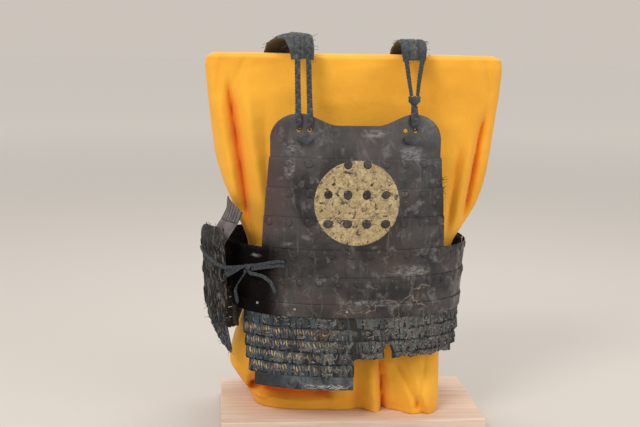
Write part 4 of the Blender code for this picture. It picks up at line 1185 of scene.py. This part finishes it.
def travelled(line):
    """How far along the line each of its points lies."""
    return np.concatenate(([0.0], np.cumsum(np.linalg.norm(np.diff(line, axis=0), axis=1))))


def braid(mesh, line, side, half_width, half_thick, pitch=0.018):
    """A flat plait of three strands along line."""
    along = travelled(line)
    even = np.linspace(0, along[-1], max(12, int(along[-1] / pitch * 14)))

    def evenly(values):
        return np.stack([np.interp(even, along, values[:, k]) for k in range(3)], 1)

    line, side = evenly(line), evenly(np.broadcast_to(side, (len(along), 3)))
    half_width = np.interp(even, along, np.broadcast_to(half_width, along.shape))[:, None]
    ahead = np.gradient(line, axis=0)
    ahead /= np.linalg.norm(ahead, axis=1, keepdims=True)
    side = side - ahead * (side * ahead).sum(1, keepdims=True)
    side /= np.linalg.norm(side, axis=1, keepdims=True)
    through = np.cross(ahead, side)
    for k in range(3):
        phase = 2 * math.pi * (even / pitch + k / 3)[:, None]
        path = line + side * half_width * 0.50 * np.sin(phase) + through * half_thick * 0.40 * np.sin(2 * phase)
        mesh.tube(path, side, half_width[:, 0] * 0.50, half_thick * 0.62, varied(CORD_TONES[k], 0.85, 1.2), 8)


def fray(mesh, middle, away, count, reach, spread, tones):
    """Loose fibres that spread from a point."""
    away = np.asarray(away, float)
    for _ in range(count):
        way = away + RANDOM.normal(0, spread, 3)
        steps = np.linspace(0, 1, 5)[:, None]
        bend = RANDOM.normal(0, 0.25, 3)
        start = middle + RANDOM.normal(0, 0.0012, 3)
        line = start + (way * steps + bend * steps ** 2) * reach * RANDOM.uniform(0.4, 1.0)
        mesh.tube(line, (0.3, 0.9, 0.1), 0.00032 * (1.1 - steps[:, 0]), 0.00030, pick(tones), 4)


def add_cord(name, line, half_width, half_thick, side, material, far_end, width=None):
    """A braided cord. For one with a width, the line's length is worked out and not kept."""
    mesh = Mesh()
    braid(mesh, line, side, half_width, half_thick)
    if far_end == "bare":
        ahead = line[-1] - line[-3]
        fray(mesh, line[-1], ahead / np.linalg.norm(ahead), 14, 0.0021, 0.22, CORD_TONES)
    piece = place_piece(mesh.make(name + "_braid", material), "cord", name)
    if width:
        length_of(line)
    return piece


def add_knot(name, x, y, height, across, through, up, material):
    """A knot of flat cord: three turns wound over each other round its solid's form."""
    mesh = Mesh()
    middle = np.array((x, y, height))
    turns = 2 * math.pi * np.linspace(0, 1, 25)
    for k, tilt in enumerate((-0.55, 0.10, 0.65)):
        shift = (k - 1) * across * 0.42
        sideways = shift + np.sin(turns) * across * 0.34 * math.sin(tilt)
        loop = np.stack([sideways, -np.cos(turns) * through * 0.62, np.sin(turns) * up * 0.74], 1)
        mesh.tube(middle + loop, (1, 0, 0.3 * tilt), across * 0.30, through * 0.36, np.array(CORD_TONES[k]) * 1.25, 8)
    core = np.linspace(-0.86, 0.86, 12)[:, None] * (across, 0, 0) + middle
    swell = np.sin(math.pi * np.linspace(0.08, 0.92, 12)) ** 0.6
    mesh.tube(core, UPRIGHT, up * 0.66 * swell, through * 0.66 * swell, CORD_TONES[1], 10)
    if name == "side_tie_knot":
        steps = np.linspace(0, 1, 14)
        wedge = np.stack([-0.036 * steps, -0.012 * steps, 0.003 - 0.011 * steps ** 1.6], 1)
        wedge = middle + (-0.003, -0.002, -0.001) + wedge
        mesh.tube(wedge, (0.1, 0.2, 1), 0.0022 + 0.0048 * smooth(steps * 1.3), 0.0011, CORD_TONES[1], 8)
    return place_piece(mesh.make(name + "_wound", material), "cord", name)


def add_laces(material):
    """The knots and the shoulder laces. The end below the hitch is made first, with no width of its own."""
    made = {row[0]: add_knot(*row, material) for row in KNOTS}
    for name, hole, table in sorted(LACES, key=lambda row: row[0] != "left_lace_end"):
        rows = [list(row) for row in table]
        if hole:
            turn = float(turn_at(hole, LACE_HOLE_HEIGHT))
            rows.append([*(oval(turn, LACE_HOLE_HEIGHT, 0.0075) + (0, 0, 0.0035)), 0.0030])
            rows.append([*oval(turn, LACE_HOLE_HEIGHT, 0.0040), 0.0026])
            rows.append([*oval(turn, LACE_HOLE_HEIGHT, -0.0060), 0.0026])
        line = flowing(rows, 8)
        half = line[:, 3]
        width = None if name == "left_lace_end" else float(np.mean(half) * 2)
        made[name] = add_cord(name, line[:, :3], half * 0.92, 0.0016, ACROSS, material, "object", width)


def add_side_tie(material):
    clear = PLATE + TIE_RISE + TIE_RADIUS + 2 * GAP
    width = 2 * TIE_RADIUS

    def against_plates(table, off=0.0):
        return [oval(math.radians(turn), height, off + clear + more) for turn, height, more in table]

    for name, table in TIE_CORDS:
        line = flowing(against_plates(table), 8)
        add_cord(name, line, 0.0033, 0.0018, UPRIGHT, material, "object", width)
    for name, table in TIE_LOOSE_CORDS:
        add_cord(name, flowing(table, 8), 0.0036, 0.0015, (0.5, 0.2, 0.8), material, "bare", width)
    line = flowing(list(WING_STRAND_START) + against_plates(WING_STRAND, WING_FLARE), 8)
    add_cord("side_tie_wing_strand", line, 0.0036, 0.0017, UPRIGHT, material, "object", width)


def strap_grid(table):
    """Points across and along a strap, with their ways outwards: up the back plate, then over the stand."""
    places_along = np.linspace(0, len(table) - 1, STRAP_ROWS)
    across = np.linspace(1, -1, STRAP_COLUMNS)
    ends = []
    for x, y, height, half, tilt in table:
        beside = x + half * across
        if y == 0.0:
            ends.append(oval(turn_at(beside, height, True), height, 6 * GAP))
        else:
            drop = tilt * np.maximum(0.0, across * math.copysign(1, x))
            crown = height + drop + STRAP_CROWN * (1 - across ** 2)
            ends.append(np.stack([beside, y + 0 * across, crown], 1))
    grid = np.zeros((STRAP_COLUMNS, STRAP_ROWS, 3))
    for j, place in enumerate(places_along):
        low = int(place)
        share = place - low
        grid[:, j] = ends[low] * (1 - share) + ends[min(low + 1, len(table) - 1)] * share
    out = np.cross(np.gradient(grid, axis=0), np.gradient(grid, axis=1))
    out /= np.linalg.norm(out, axis=-1, keepdims=True)
    return grid, out * np.sign(out[STRAP_COLUMNS // 2, STRAP_ROWS // 2, 2])


def add_matting(mesh, outer, out):
    """Matted fibres that lie along the strap."""
    for _ in range(130):
        i, j = int(RANDOM.integers(0, STRAP_COLUMNS)), int(RANDOM.integers(24, 88))
        span = int(RANDOM.integers(5, 11))
        drift = RANDOM.normal(0, 2.2)
        steps = np.arange(span)
        low = np.clip(i + drift * steps / span, 0, STRAP_COLUMNS - 1).astype(int)
        line = outer[low, j + steps] + out[low, j + steps] * 0.0004 * np.sin(math.pi * steps / (span - 1))[:, None]
        mesh.tube(line, ACROSS, 0.00075, 0.0006, pick(FELT) * 1.2, 5)


def add_strap(name, table, felt):
    """A strap of worn leather in matted cloth, ragged along its edges."""
    table = np.array(table)
    middle, last = STRAP_COLUMNS // 2, STRAP_COLUMNS - 1
    grid, out = strap_grid(table)
    rough = 0.0011 * (0.5 + 0.5 * bumps(grid, 0.0085, 12)) + 0.0005 * bumps(grid, 0.003, 15)
    inner = grid + out * (0 * rough)[..., None]
    outer = grid + out * (STRAP_THICK - 0.0012 + rough)[..., None]
    ragged = 1 + 0.05 * bumps(inner[(0, -1), :], 0.008, 31)
    for k, edge in ((0, 0), (-1, 1)):
        for side in (inner, outer):
            side[k] = inner[middle] + (side[k] - inner[middle]) * np.minimum(1.0, ragged[edge])[:, None]
    mesh = Mesh()
    mesh.shell(inner, outer, STRAP_TINT)
    add_matting(mesh, outer, out)
    for j in range(30, 98, 5):
        for k in (0, last):
            outwards = outer[k, j] - outer[middle, j]
            fray(mesh, outer[k, j], outwards / np.linalg.norm(outwards) + (0, 0, -0.2), 1, 0.006, 0.5, FELT)
    for i in range(0, STRAP_COLUMNS, 2):
        fray(mesh, outer[i, -1], (0, -0.4, -0.9), 1, 0.007, 0.3, FELT)
    piece = place_piece(mesh.make(name + "_felted", felt), "worn_leather", name)
    flat = (round(2 * float(table[:, 3].mean()), 3), round(length_of(inner[middle]), 3))


def bumps_along(values, size, seed):
    return bumps(np.stack([values, 0 * values, 0 * values], -1), size, seed)


def torn_leaf(mesh, surface, first, tip, last, bottom, lean, count):
    """A hanging leaf of torn lacing: a ragged ground and twisted strands. Takes degrees, returns its surface."""

    def leaf(u, v, off):
        height = bottom + (HANGER_TOP - bottom) * v
        start = first + (tip - first) * (1 - v) ** 1.8
        turn = np.radians(start + (last - start) * u)
        inwards = -0.0025 - 2 * GAP - lean * np.maximum(0.0, 0.85 - v)
        return surface(turn, height, inwards + off)

    u, v = np.meshgrid(np.linspace(0, 1, 16), np.linspace(0, 1, 24), indexing="ij")
    v = np.maximum(v, np.clip(0.03 + 0.05 * bumps_along(u, 0.11, 9), 0, 1))
    u = np.maximum(u, np.where(v < 0.93, 0.30 + 0.20 * bumps_along(v, 0.13, 4), 0.0))
    mesh.shell(leaf(u, v, 0.0), leaf(u, v, 0.0008), TORN_GROUND)
    for k in range(count):
        centre = 0.22 + 0.78 * (k + 0.5) / count
        down = np.linspace(1, RANDOM.uniform(0.0, 0.14), 26)
        sway = 0.05 * np.sin(down * RANDOM.uniform(6, 15) + RANDOM.uniform(0, 6)) * (1 - down * 0.6)
        line = leaf(np.clip(centre + 1.5 * sway, 0.16, 0.97), down, 0.0016 + 0.0007 * np.sin(down * 50 + k))
        twist = 1 + 0.45 * np.sin(down * RANDOM.uniform(45, 80) + k)
        mesh.tube(line, WING_SIDE, 0.0019 * twist, 0.0011 * twist, varied(TORN_TONES[k % 4], 0.7, 1.2), 6)
    return leaf


def add_torn_leaves(front, back, silk):
    """The torn leaf under the wing, with loose fibres, and the dark strip under the front's open edge."""
    mesh = Mesh()
    leaf = torn_leaf(mesh, back, 270.0, 297.0, 299.5, 0.147, 0.016, 20)
    fray(mesh, leaf(0.5, 0.03, 0.001), (0.2, 0, -1), 8, 0.009, 0.30, FELT)
    for _ in range(36):
        place = leaf(RANDOM.uniform(0, 1), RANDOM.uniform(0.1, 1), 0.0025)
        fray(mesh, place, (-0.2, -0.3, -0.4), 1, 0.007, 0.5, FELT)
    place_piece(mesh.make("torn_side_panel_strands", silk), "lacing", "torn_side_panel")
    mesh = Mesh()
    torn_leaf(mesh, front, -90.0, -90.0, -73.0, 0.182, 0.0, 14)
    place_piece(mesh.make("front_wing_remnant_strands", silk), "lacing", "front_wing_remnant")


def add_wing_crust(silk):
    """The wing's corroded end: dark strands, lumps, a loop at its edge and fibres along its top."""
    mesh = Mesh()
    reach = WING_FLARE + PLATE
    for k in range(34):
        start, top, bottom = RANDOM.uniform(284.0, 301.4), RANDOM.uniform(0.30, 0.382), RANDOM.uniform(0.19, 0.30)
        bottom = min(bottom, top - 0.03)
        height = bottom + (top - bottom) * np.linspace(1, 0, 20)
        turn = np.radians(np.minimum(start + 0.9 * np.sin(height * 90 + k), 301.7))
        line = oval(turn, np.maximum(height, WAIST_BOTTOM), reach + 0.0006 + 0.0006 * np.sin(height * 400 + k) + 0.0008)
        line[:, 2] = height
        thick = 1 + 0.5 * np.sin(height * RANDOM.uniform(250, 420) + k)
        mesh.tube(line, WING_SIDE, 0.0016 * thick, 0.0010 * thick, varied(CRUST_TONES[k % 4], 0.7, 1.3), 6)
    for k in range(46):
        turn, height = math.radians(RANDOM.uniform(287.0, 301.2)), RANDOM.uniform(0.228, 0.368)
        span = np.linspace(-0.5, 0.5, 7) * RANDOM.uniform(0.008, 0.018)
        line = oval(turn + RANDOM.normal(0, 1.1) * span, height + span, reach + 0.0022)
        fat = RANDOM.uniform(0.0011, 0.0022) * np.sin(math.pi * np.linspace(0.12, 0.88, 7))
        mesh.tube(line, WING_SIDE, fat, fat * 0.8, varied(CRUST_TONES[k % 3], 0.8, 1.7), 7)
    ring = np.linspace(0, 2 * math.pi, 22)
    loop = oval(math.radians(301.2), 0.296, reach + 0.002)
    loop = loop + np.stack([0.0055 * np.cos(ring) - 0.003, 0 * ring, 0.0120 * np.sin(ring)], -1)
    for k in range(3):
        shifted = loop + np.array((0.0010, -0.0012, 0.0016)) * (k - 1)
        mesh.tube(shifted, (0, 1, 0), 0.0018, 0.0015, np.array(CRUST_TONES[(k + 1) % 3]) * 1.3, 7)
    for _ in range(44):
        turn = math.radians(RANDOM.uniform(284.0, 301.5))
        base = oval(turn, 0.372 + RANDOM.uniform(-0.014, 0.004), WING_FLARE + RANDOM.uniform(0.000, 0.004))
        fray(mesh, base, (-0.1, -0.2, 0.5), 1, 0.006, 0.8, DARK_FIBRES)
    place_piece(mesh.make("wing_crust", silk), "lacing")


def add_breast_tufts(silk):
    """Dark fibres at the wearer's left edge of the breast."""
    mesh = Mesh()
    for _ in range(26):
        height = 0.447 + 0.024 * RANDOM.random()
        fray(mesh, oval(float(turn_at(0.1515, height)), height, 0.0012), (0.7, -0.3, -0.1), 1, 0.011, 0.7, DARK_FIBRES)
    place_piece(mesh.make("breast_edge_tufts", silk), "lacing")


def add_nail_heads(front, silk):
    """Three pale nail heads low on the front, right on its plate."""
    mesh = Mesh()
    for x, height in ((-0.1045, 0.2355), (-0.0140, 0.2330), (-0.1680, 0.2400)):
        middle = front(float(turn_at(x, height)), height, PLATE + 0.0010)
        line = middle + np.linspace(-1, 1, 6)[:, None] * (0.0022, 0, 0)
        dome = 0.0024 * np.sqrt(1 - np.linspace(-0.96, 0.96, 6) ** 2)
        mesh.tube(line, UPRIGHT, dome, 0.0010, NAIL_HEAD, 10)
    place_piece(mesh.make("pale_nail_heads", silk), "lacing")


def add_back_skirts(back, silk):
    """The two plain panels behind, laced in four rows like the front's."""
    for name, *ends in (("back_skirt_left", 98.0, 172.0), ("back_skirt_right", 186.0, 249.0)):
        mesh = Mesh()
        for row in range(4):
            top = HANGER_TOP - row * BACK_ROW_PITCH
            foot = top - BACK_ROW_PITCH

            def place(turn, height, off):
                lean = 0.0016 * (HANGER_TOP - 0.012 - height) / 0.0295
                upper = back(turn, height, -0.0031 + LACE_OFF + off)
                lower = skirt_surface(turn, height, lean + LACE_OFF + off, WING_FLARE * wing_share(turn))
                high = smooth((height - HANGER_TOP + 0.016) / 0.012)[..., None]
                return upper * high + lower * (1 - high)

            add_row_of_laces(mesh, place, ends, top, lambda turn: foot + 0.0008, 0.0062, 1.4, row > 0)
        place_piece(mesh.make(name + "_laces", silk), "lacing", name)


# The stand's cover

COVER_SQUARENESS = 3.4
STAND_TOP = 0.6835
COVER_HEM = 0.0303
CLOTH = 0.0008
COVER_COLUMNS = 300
COVER_LID_RINGS = 9

# from, to and number of the cover's rows
COVER_ROWS = ((COVER_HEM, 0.125, 36), (0.130, 0.655, 72), (0.658, STAND_TOP, 16))

# height, reach to -X, reach to +X, reach to the front, reach to the back
COVER_SECTIONS = np.array((
    (COVER_HEM, 0.172, 0.172, 0.088, 0.080),
    (0.070, 0.196, 0.174, 0.096, 0.084),
    (0.108, 0.221, 0.177, 0.094, 0.086),
    (0.150, 0.213, 0.178, 0.088, 0.084),
    (0.200, 0.196, 0.178, 0.086, 0.082),
    (0.270, 0.180, 0.182, 0.088, 0.082),
    (0.340, 0.186, 0.198, 0.084, 0.080),
    (0.375, 0.200, 0.222, 0.080, 0.078),
    (0.410, 0.216, 0.244, 0.076, 0.075),
    (0.450, 0.234, 0.258, 0.072, 0.072),
    (0.500, 0.248, 0.266, 0.068, 0.068),
    (0.560, 0.256, 0.273, 0.064, 0.064),
    (0.620, 0.262, 0.281, 0.061, 0.061),
    (0.660, 0.2665, 0.284, 0.059, 0.059),
    (0.677, 0.264, 0.281, 0.056, 0.056),
    (STAND_TOP, 0.252, 0.268, 0.046, 0.046),
))

# face, x at the top, x at the bottom, top height, bottom height, half width, depth inwards, sharpness
COVER_FOLDS = (
    (1, -0.229, -0.178, 0.660, 0.330, 0.007, 0.026, 1.1),
    (1, -0.220, -0.174, 0.640, 0.380, 0.013, 0.006, 2.0),
    (1, -0.251, -0.207, 0.640, 0.380, 0.013, -0.010, 2.0),
    (1, -0.200, -0.155, 0.660, 0.360, 0.013, -0.009, 2.0),
    (1, 0.252, 0.212, 0.600, 0.360, 0.008, 0.022, 1.2),
    (1, 0.228, 0.190, 0.560, 0.350, 0.012, -0.007, 2.0),
    (1, 0.205, 0.178, 0.540, 0.340, 0.008, 0.012, 1.3),
    (1, 0.052, 0.068, 0.170, 0.000, 0.006, 0.024, 1.4),
    (1, 0.036, 0.050, 0.160, 0.000, 0.013, -0.017, 2.0),
    (1, 0.006, 0.024, 0.160, 0.000, 0.012, 0.010, 1.6),
    (1, 0.088, 0.120, 0.160, 0.000, 0.020, -0.010, 1.2),
    (1, 0.070, 0.135, 0.150, 0.030, 0.007, 0.010, 1.1),
    (1, 0.150, 0.125, 0.160, 0.040, 0.007, 0.007, 1.1),
    (1, 0.100, 0.150, 0.150, 0.020, 0.012, -0.009, 1.0),
    (1, 0.140, 0.100, 0.120, 0.010, 0.010, -0.006, 1.0),
    (1, -0.140, -0.185, 0.160, 0.040, 0.012, 0.014, 1.2),
    (1, -0.120, -0.165, 0.150, 0.050, 0.012, -0.009, 1.6),
    (1, -0.060, -0.050, 0.600, 0.500, 0.060, 0.003, 2.0),
    (1, 0.165, 0.105, 0.645, 0.530, 0.008, 0.0040, 1.1),
    (1, -0.105, -0.010, 0.625, 0.545, 0.010, 0.0030, 1.2),
    (1, -0.160, -0.150, 0.620, 0.400, 0.008, 0.0045, 1.2),
    (1, -0.236, -0.252, 0.692, 0.585, 0.006, 0.0075, 1.2),
    (1, -0.190, -0.215, 0.688, 0.620, 0.008, 0.0050, 1.2),
    (1, 0.245, 0.258, 0.690, 0.600, 0.007, 0.0065, 1.2),
    (1, 0.060, -0.020, 0.665, 0.600, 0.010, 0.0030, 1.1),
    (-1, -0.205, -0.160, 0.650, 0.330, 0.019, 0.022, 1.3),
    (-1, -0.150, -0.110, 0.600, 0.300, 0.012, 0.007, 1.4),
    (-1, -0.060, -0.050, 0.640, 0.380, 0.014, 0.005, 1.4),
    (-1, 0.070, 0.060, 0.600, 0.330, 0.012, 0.005, 1.5),
    (-1, 0.215, 0.170, 0.640, 0.330, 0.019, 0.022, 1.4),
    (-1, 0.150, 0.120, 0.560, 0.280, 0.012, 0.007, 1.5),
    (-1, 0.030, 0.020, 0.200, 0.020, 0.018, 0.018, 1.4),
    (-1, -0.110, -0.120, 0.180, 0.020, 0.018, 0.013, 1.5),
    (-1, 0.110, 0.115, 0.150, 0.020, 0.014, 0.008, 1.6),
)


def read_cover(height, column):
    """The cover's sizes with the corners between rows rounded off."""
    fine = np.linspace(COVER_HEM, STAND_TOP, 330)
    values = np.interp(fine, COVER_SECTIONS[:, 0], COVER_SECTIONS[:, column])
    kernel = np.exp(-(np.arange(-12, 13) / 5.0) ** 2)
    kernel /= kernel.sum()
    padded = np.concatenate((np.full(12, values[0]), values, np.full(12, values[-1])))
    soft = np.convolve(padded, kernel, "valid")
    keep = smooth((fine - 0.655) / 0.015)
    return np.interp(height, fine, soft * (1 - keep) + values * keep)


def fold_depth(x, height, face):
    total = np.zeros_like(x)
    for side, x_top, x_bottom, top, bottom, half, depth, sharp in COVER_FOLDS:
        share = (height - bottom) / (top - bottom)
        centre = x_bottom + (x_top - x_bottom) * share
        if top > 0.3:
            ends = smooth(share / 0.25) * smooth((1 - share) / 0.25)
        else:
            ends = smooth((1 - share) / 0.5)
        inside = (share >= 0) & (share <= 1) & (face == side)
        total += np.where(inside, depth * ends * np.exp(-np.abs((x - centre) / half) ** sharp), 0.0)
    return total


def hem_depth(x, height, face):
    """The front hem at the wearer's right: a deep tuck, and below it a lip that sticks out."""
    hem = (face == 1) * smooth((x + 0.190) / 0.014) * smooth((-0.026 - x) / 0.014)
    rim = np.interp(x, (-0.185, -0.130, -0.080, -0.035), (0.061, 0.055, 0.051, 0.053))
    set_back = 0.016 * smooth((0.105 - height) / 0.03)
    tuck = 0.026 * np.exp(-((height - rim - 0.007) / 0.0065) ** 2)
    return hem * (set_back + tuck - 0.012 * smooth((rim - height) / 0.004))


def lobe_reach(x, height, face):
    """The front hem at the wearer's left: a lobe that comes forward on the board."""
    return (face == 1) * 0.042 * smooth((x - 0.075) / 0.075) * smooth((0.165 - height) / 0.13)


def cover_surface(turn, height):
    side, ahead = np.sin(turn), np.cos(turn)
    power = 2 / COVER_SQUARENESS
    reach_x = np.where(side >= 0, read_cover(height, 2), read_cover(height, 1))
    reach_y = np.where(ahead >= 0, read_cover(height, 3), read_cover(height, 4))
    x = reach_x * signed_power(side, power)
    y = -reach_y * signed_power(ahead, power)
    face = np.where(y < 0, 1, -1)
    inwards = (fold_depth(x, height, face) - lobe_reach(x, height, face)) * np.minimum(1.0, np.abs(y) / 0.05)
    inwards += hem_depth(x, height, face)
    return np.stack([x, y + face * inwards, height + 0 * x], -1)


def wrinkle(grid):
    """Lays fine wrinkles on the cover's sides, calm at its hem and top and shallow behind the waist plates."""
    height = grid[..., 2].copy()
    depth = 0.0030 * bumps(grid * (1.0, 0.5, 2.2), 0.075, 2) + 0.0017 * bumps(grid * (1.0, 0.5, 1.6), 0.031, 8)
    depth += 0.0006 * bumps(grid, 0.014, 4)
    calm = smooth((STAND_TOP - 0.004 - height) / 0.02) * smooth((height - COVER_HEM) / 0.02)
    face = np.where(grid[..., 1] < 0, -1.0, 1.0)
    behind_waist = (height > 0.22) & (height < 0.345)
    grid[..., 1] += face * depth * calm * np.where(behind_waist, 0.4, 1.0) - face * 0.0010
    grid[..., 0] += 0.0018 * bumps(grid, 0.060, 9) * calm * smooth((np.abs(grid[..., 0]) - 0.14) / 0.05)


def cover_lid(rim):
    """Rings that close the cover's top, from its rim to the middle."""
    rings = []
    for step in range(1, COVER_LID_RINGS + 1):
        share = 1 - step / COVER_LID_RINGS
        ring = rim.copy()
        ring[:, 1] *= share
        ring[:, 0] *= 1 - 0.012 * (1 - share)
        outside = smooth((np.abs(ring[:, 0] - 0.008) - 0.20) / 0.05)
        ring[:, 2] += 0.0004 + 0.0006 * bumps(ring, 0.045, 6) - 0.0035 * outside * (1 - share)
        rings.append(ring)
    return np.stack(rings, 1)


def add_cover():
    """The cotton cover as one thin hanging sheet: a bag over the bar, open at its hem."""
    turn = (2 * math.pi * np.arange(COVER_COLUMNS) / COVER_COLUMNS)[:, None]
    heights = np.concatenate([np.linspace(*row) for row in COVER_ROWS])[None, :]
    grid = cover_surface(turn + 0 * heights, heights + 0 * turn)
    wrinkle(grid)
    grid = np.concatenate((grid, cover_lid(grid[:, -1])), 1)
    x, y, height = np.moveaxis(grid, -1, 0)
    face = np.where(y < 0, 1, -1)
    # the tint carries painted shade: darker in the deep folds and the hem's tuck
    deep = np.maximum(fold_depth(x, height, face), hem_depth(x, height, face) - 0.013)
    mesh = Mesh()
    mesh.ring_grid(grid, (0.5 + 0.5 * np.clip(deep / 0.026, 0, 1)).reshape(-1, 1))
    cover = mesh.make("stand_cover_cloth", cloth_material(), 70)
    thick = cover.modifiers.new("cloth", "SOLIDIFY")
    thick.thickness = CLOTH
    thick.offset = -1.0
    place_piece(cover, "yellow_cotton", "stand_cover")


def main():
    make_camera()
    bpy.context.scene.view_settings.view_transform = "Standard"
    silk = strand_material("old_silk_lacing")
    braided = strand_material("dark_braided_cord", 0.8, 0.7, 700.0, 0.1)
    add_laces(braided)
    add_side_tie(braided)
    lacquer = iron_material("iron_lacquer")
    front = add_front_plates(lacquer, iron_material("iron_lacquer_with_gold_disc", gold=True))
    back = add_back_plates(lacquer, iron_material("iron_lacquer_corroded", corroded=True))
    bare = iron_material("iron_lacquer_untinted", tinted=False)
    for name in ("hinge_leaf_back", "hinge_leaf_front", "hinge_pin"):
        dress(name, bare)
    add_skirts(bare, silk)
    add_torn_leaves(front, back, silk)
    add_wing_crust(silk)
    add_breast_tufts(silk)
    add_nail_heads(front, silk)
    add_back_skirts(back, silk)
    felt = strand_material("felted_strap", 0.92, 1.3, 380.0, 0.1)
    add_strap("right_shoulder_strap", RIGHT_STRAP, felt)
    add_strap("left_shoulder_strap", LEFT_STRAP, felt)
    add_cover()
    dress("base_board", wood_material("pale_board", (0.680, 0.490, 0.375), (0.850, 0.665, 0.530)))
    plain_wood = wood_material("plain_wood", (0.420, 0.290, 0.190), (0.560, 0.400, 0.270))
    dress("stand_post", plain_wood)
    dress("shoulder_bar", plain_wood)
    dress("underarm_plate", underarm_material())
    make_surroundings()


main()
bpy.context.view_layer.update()
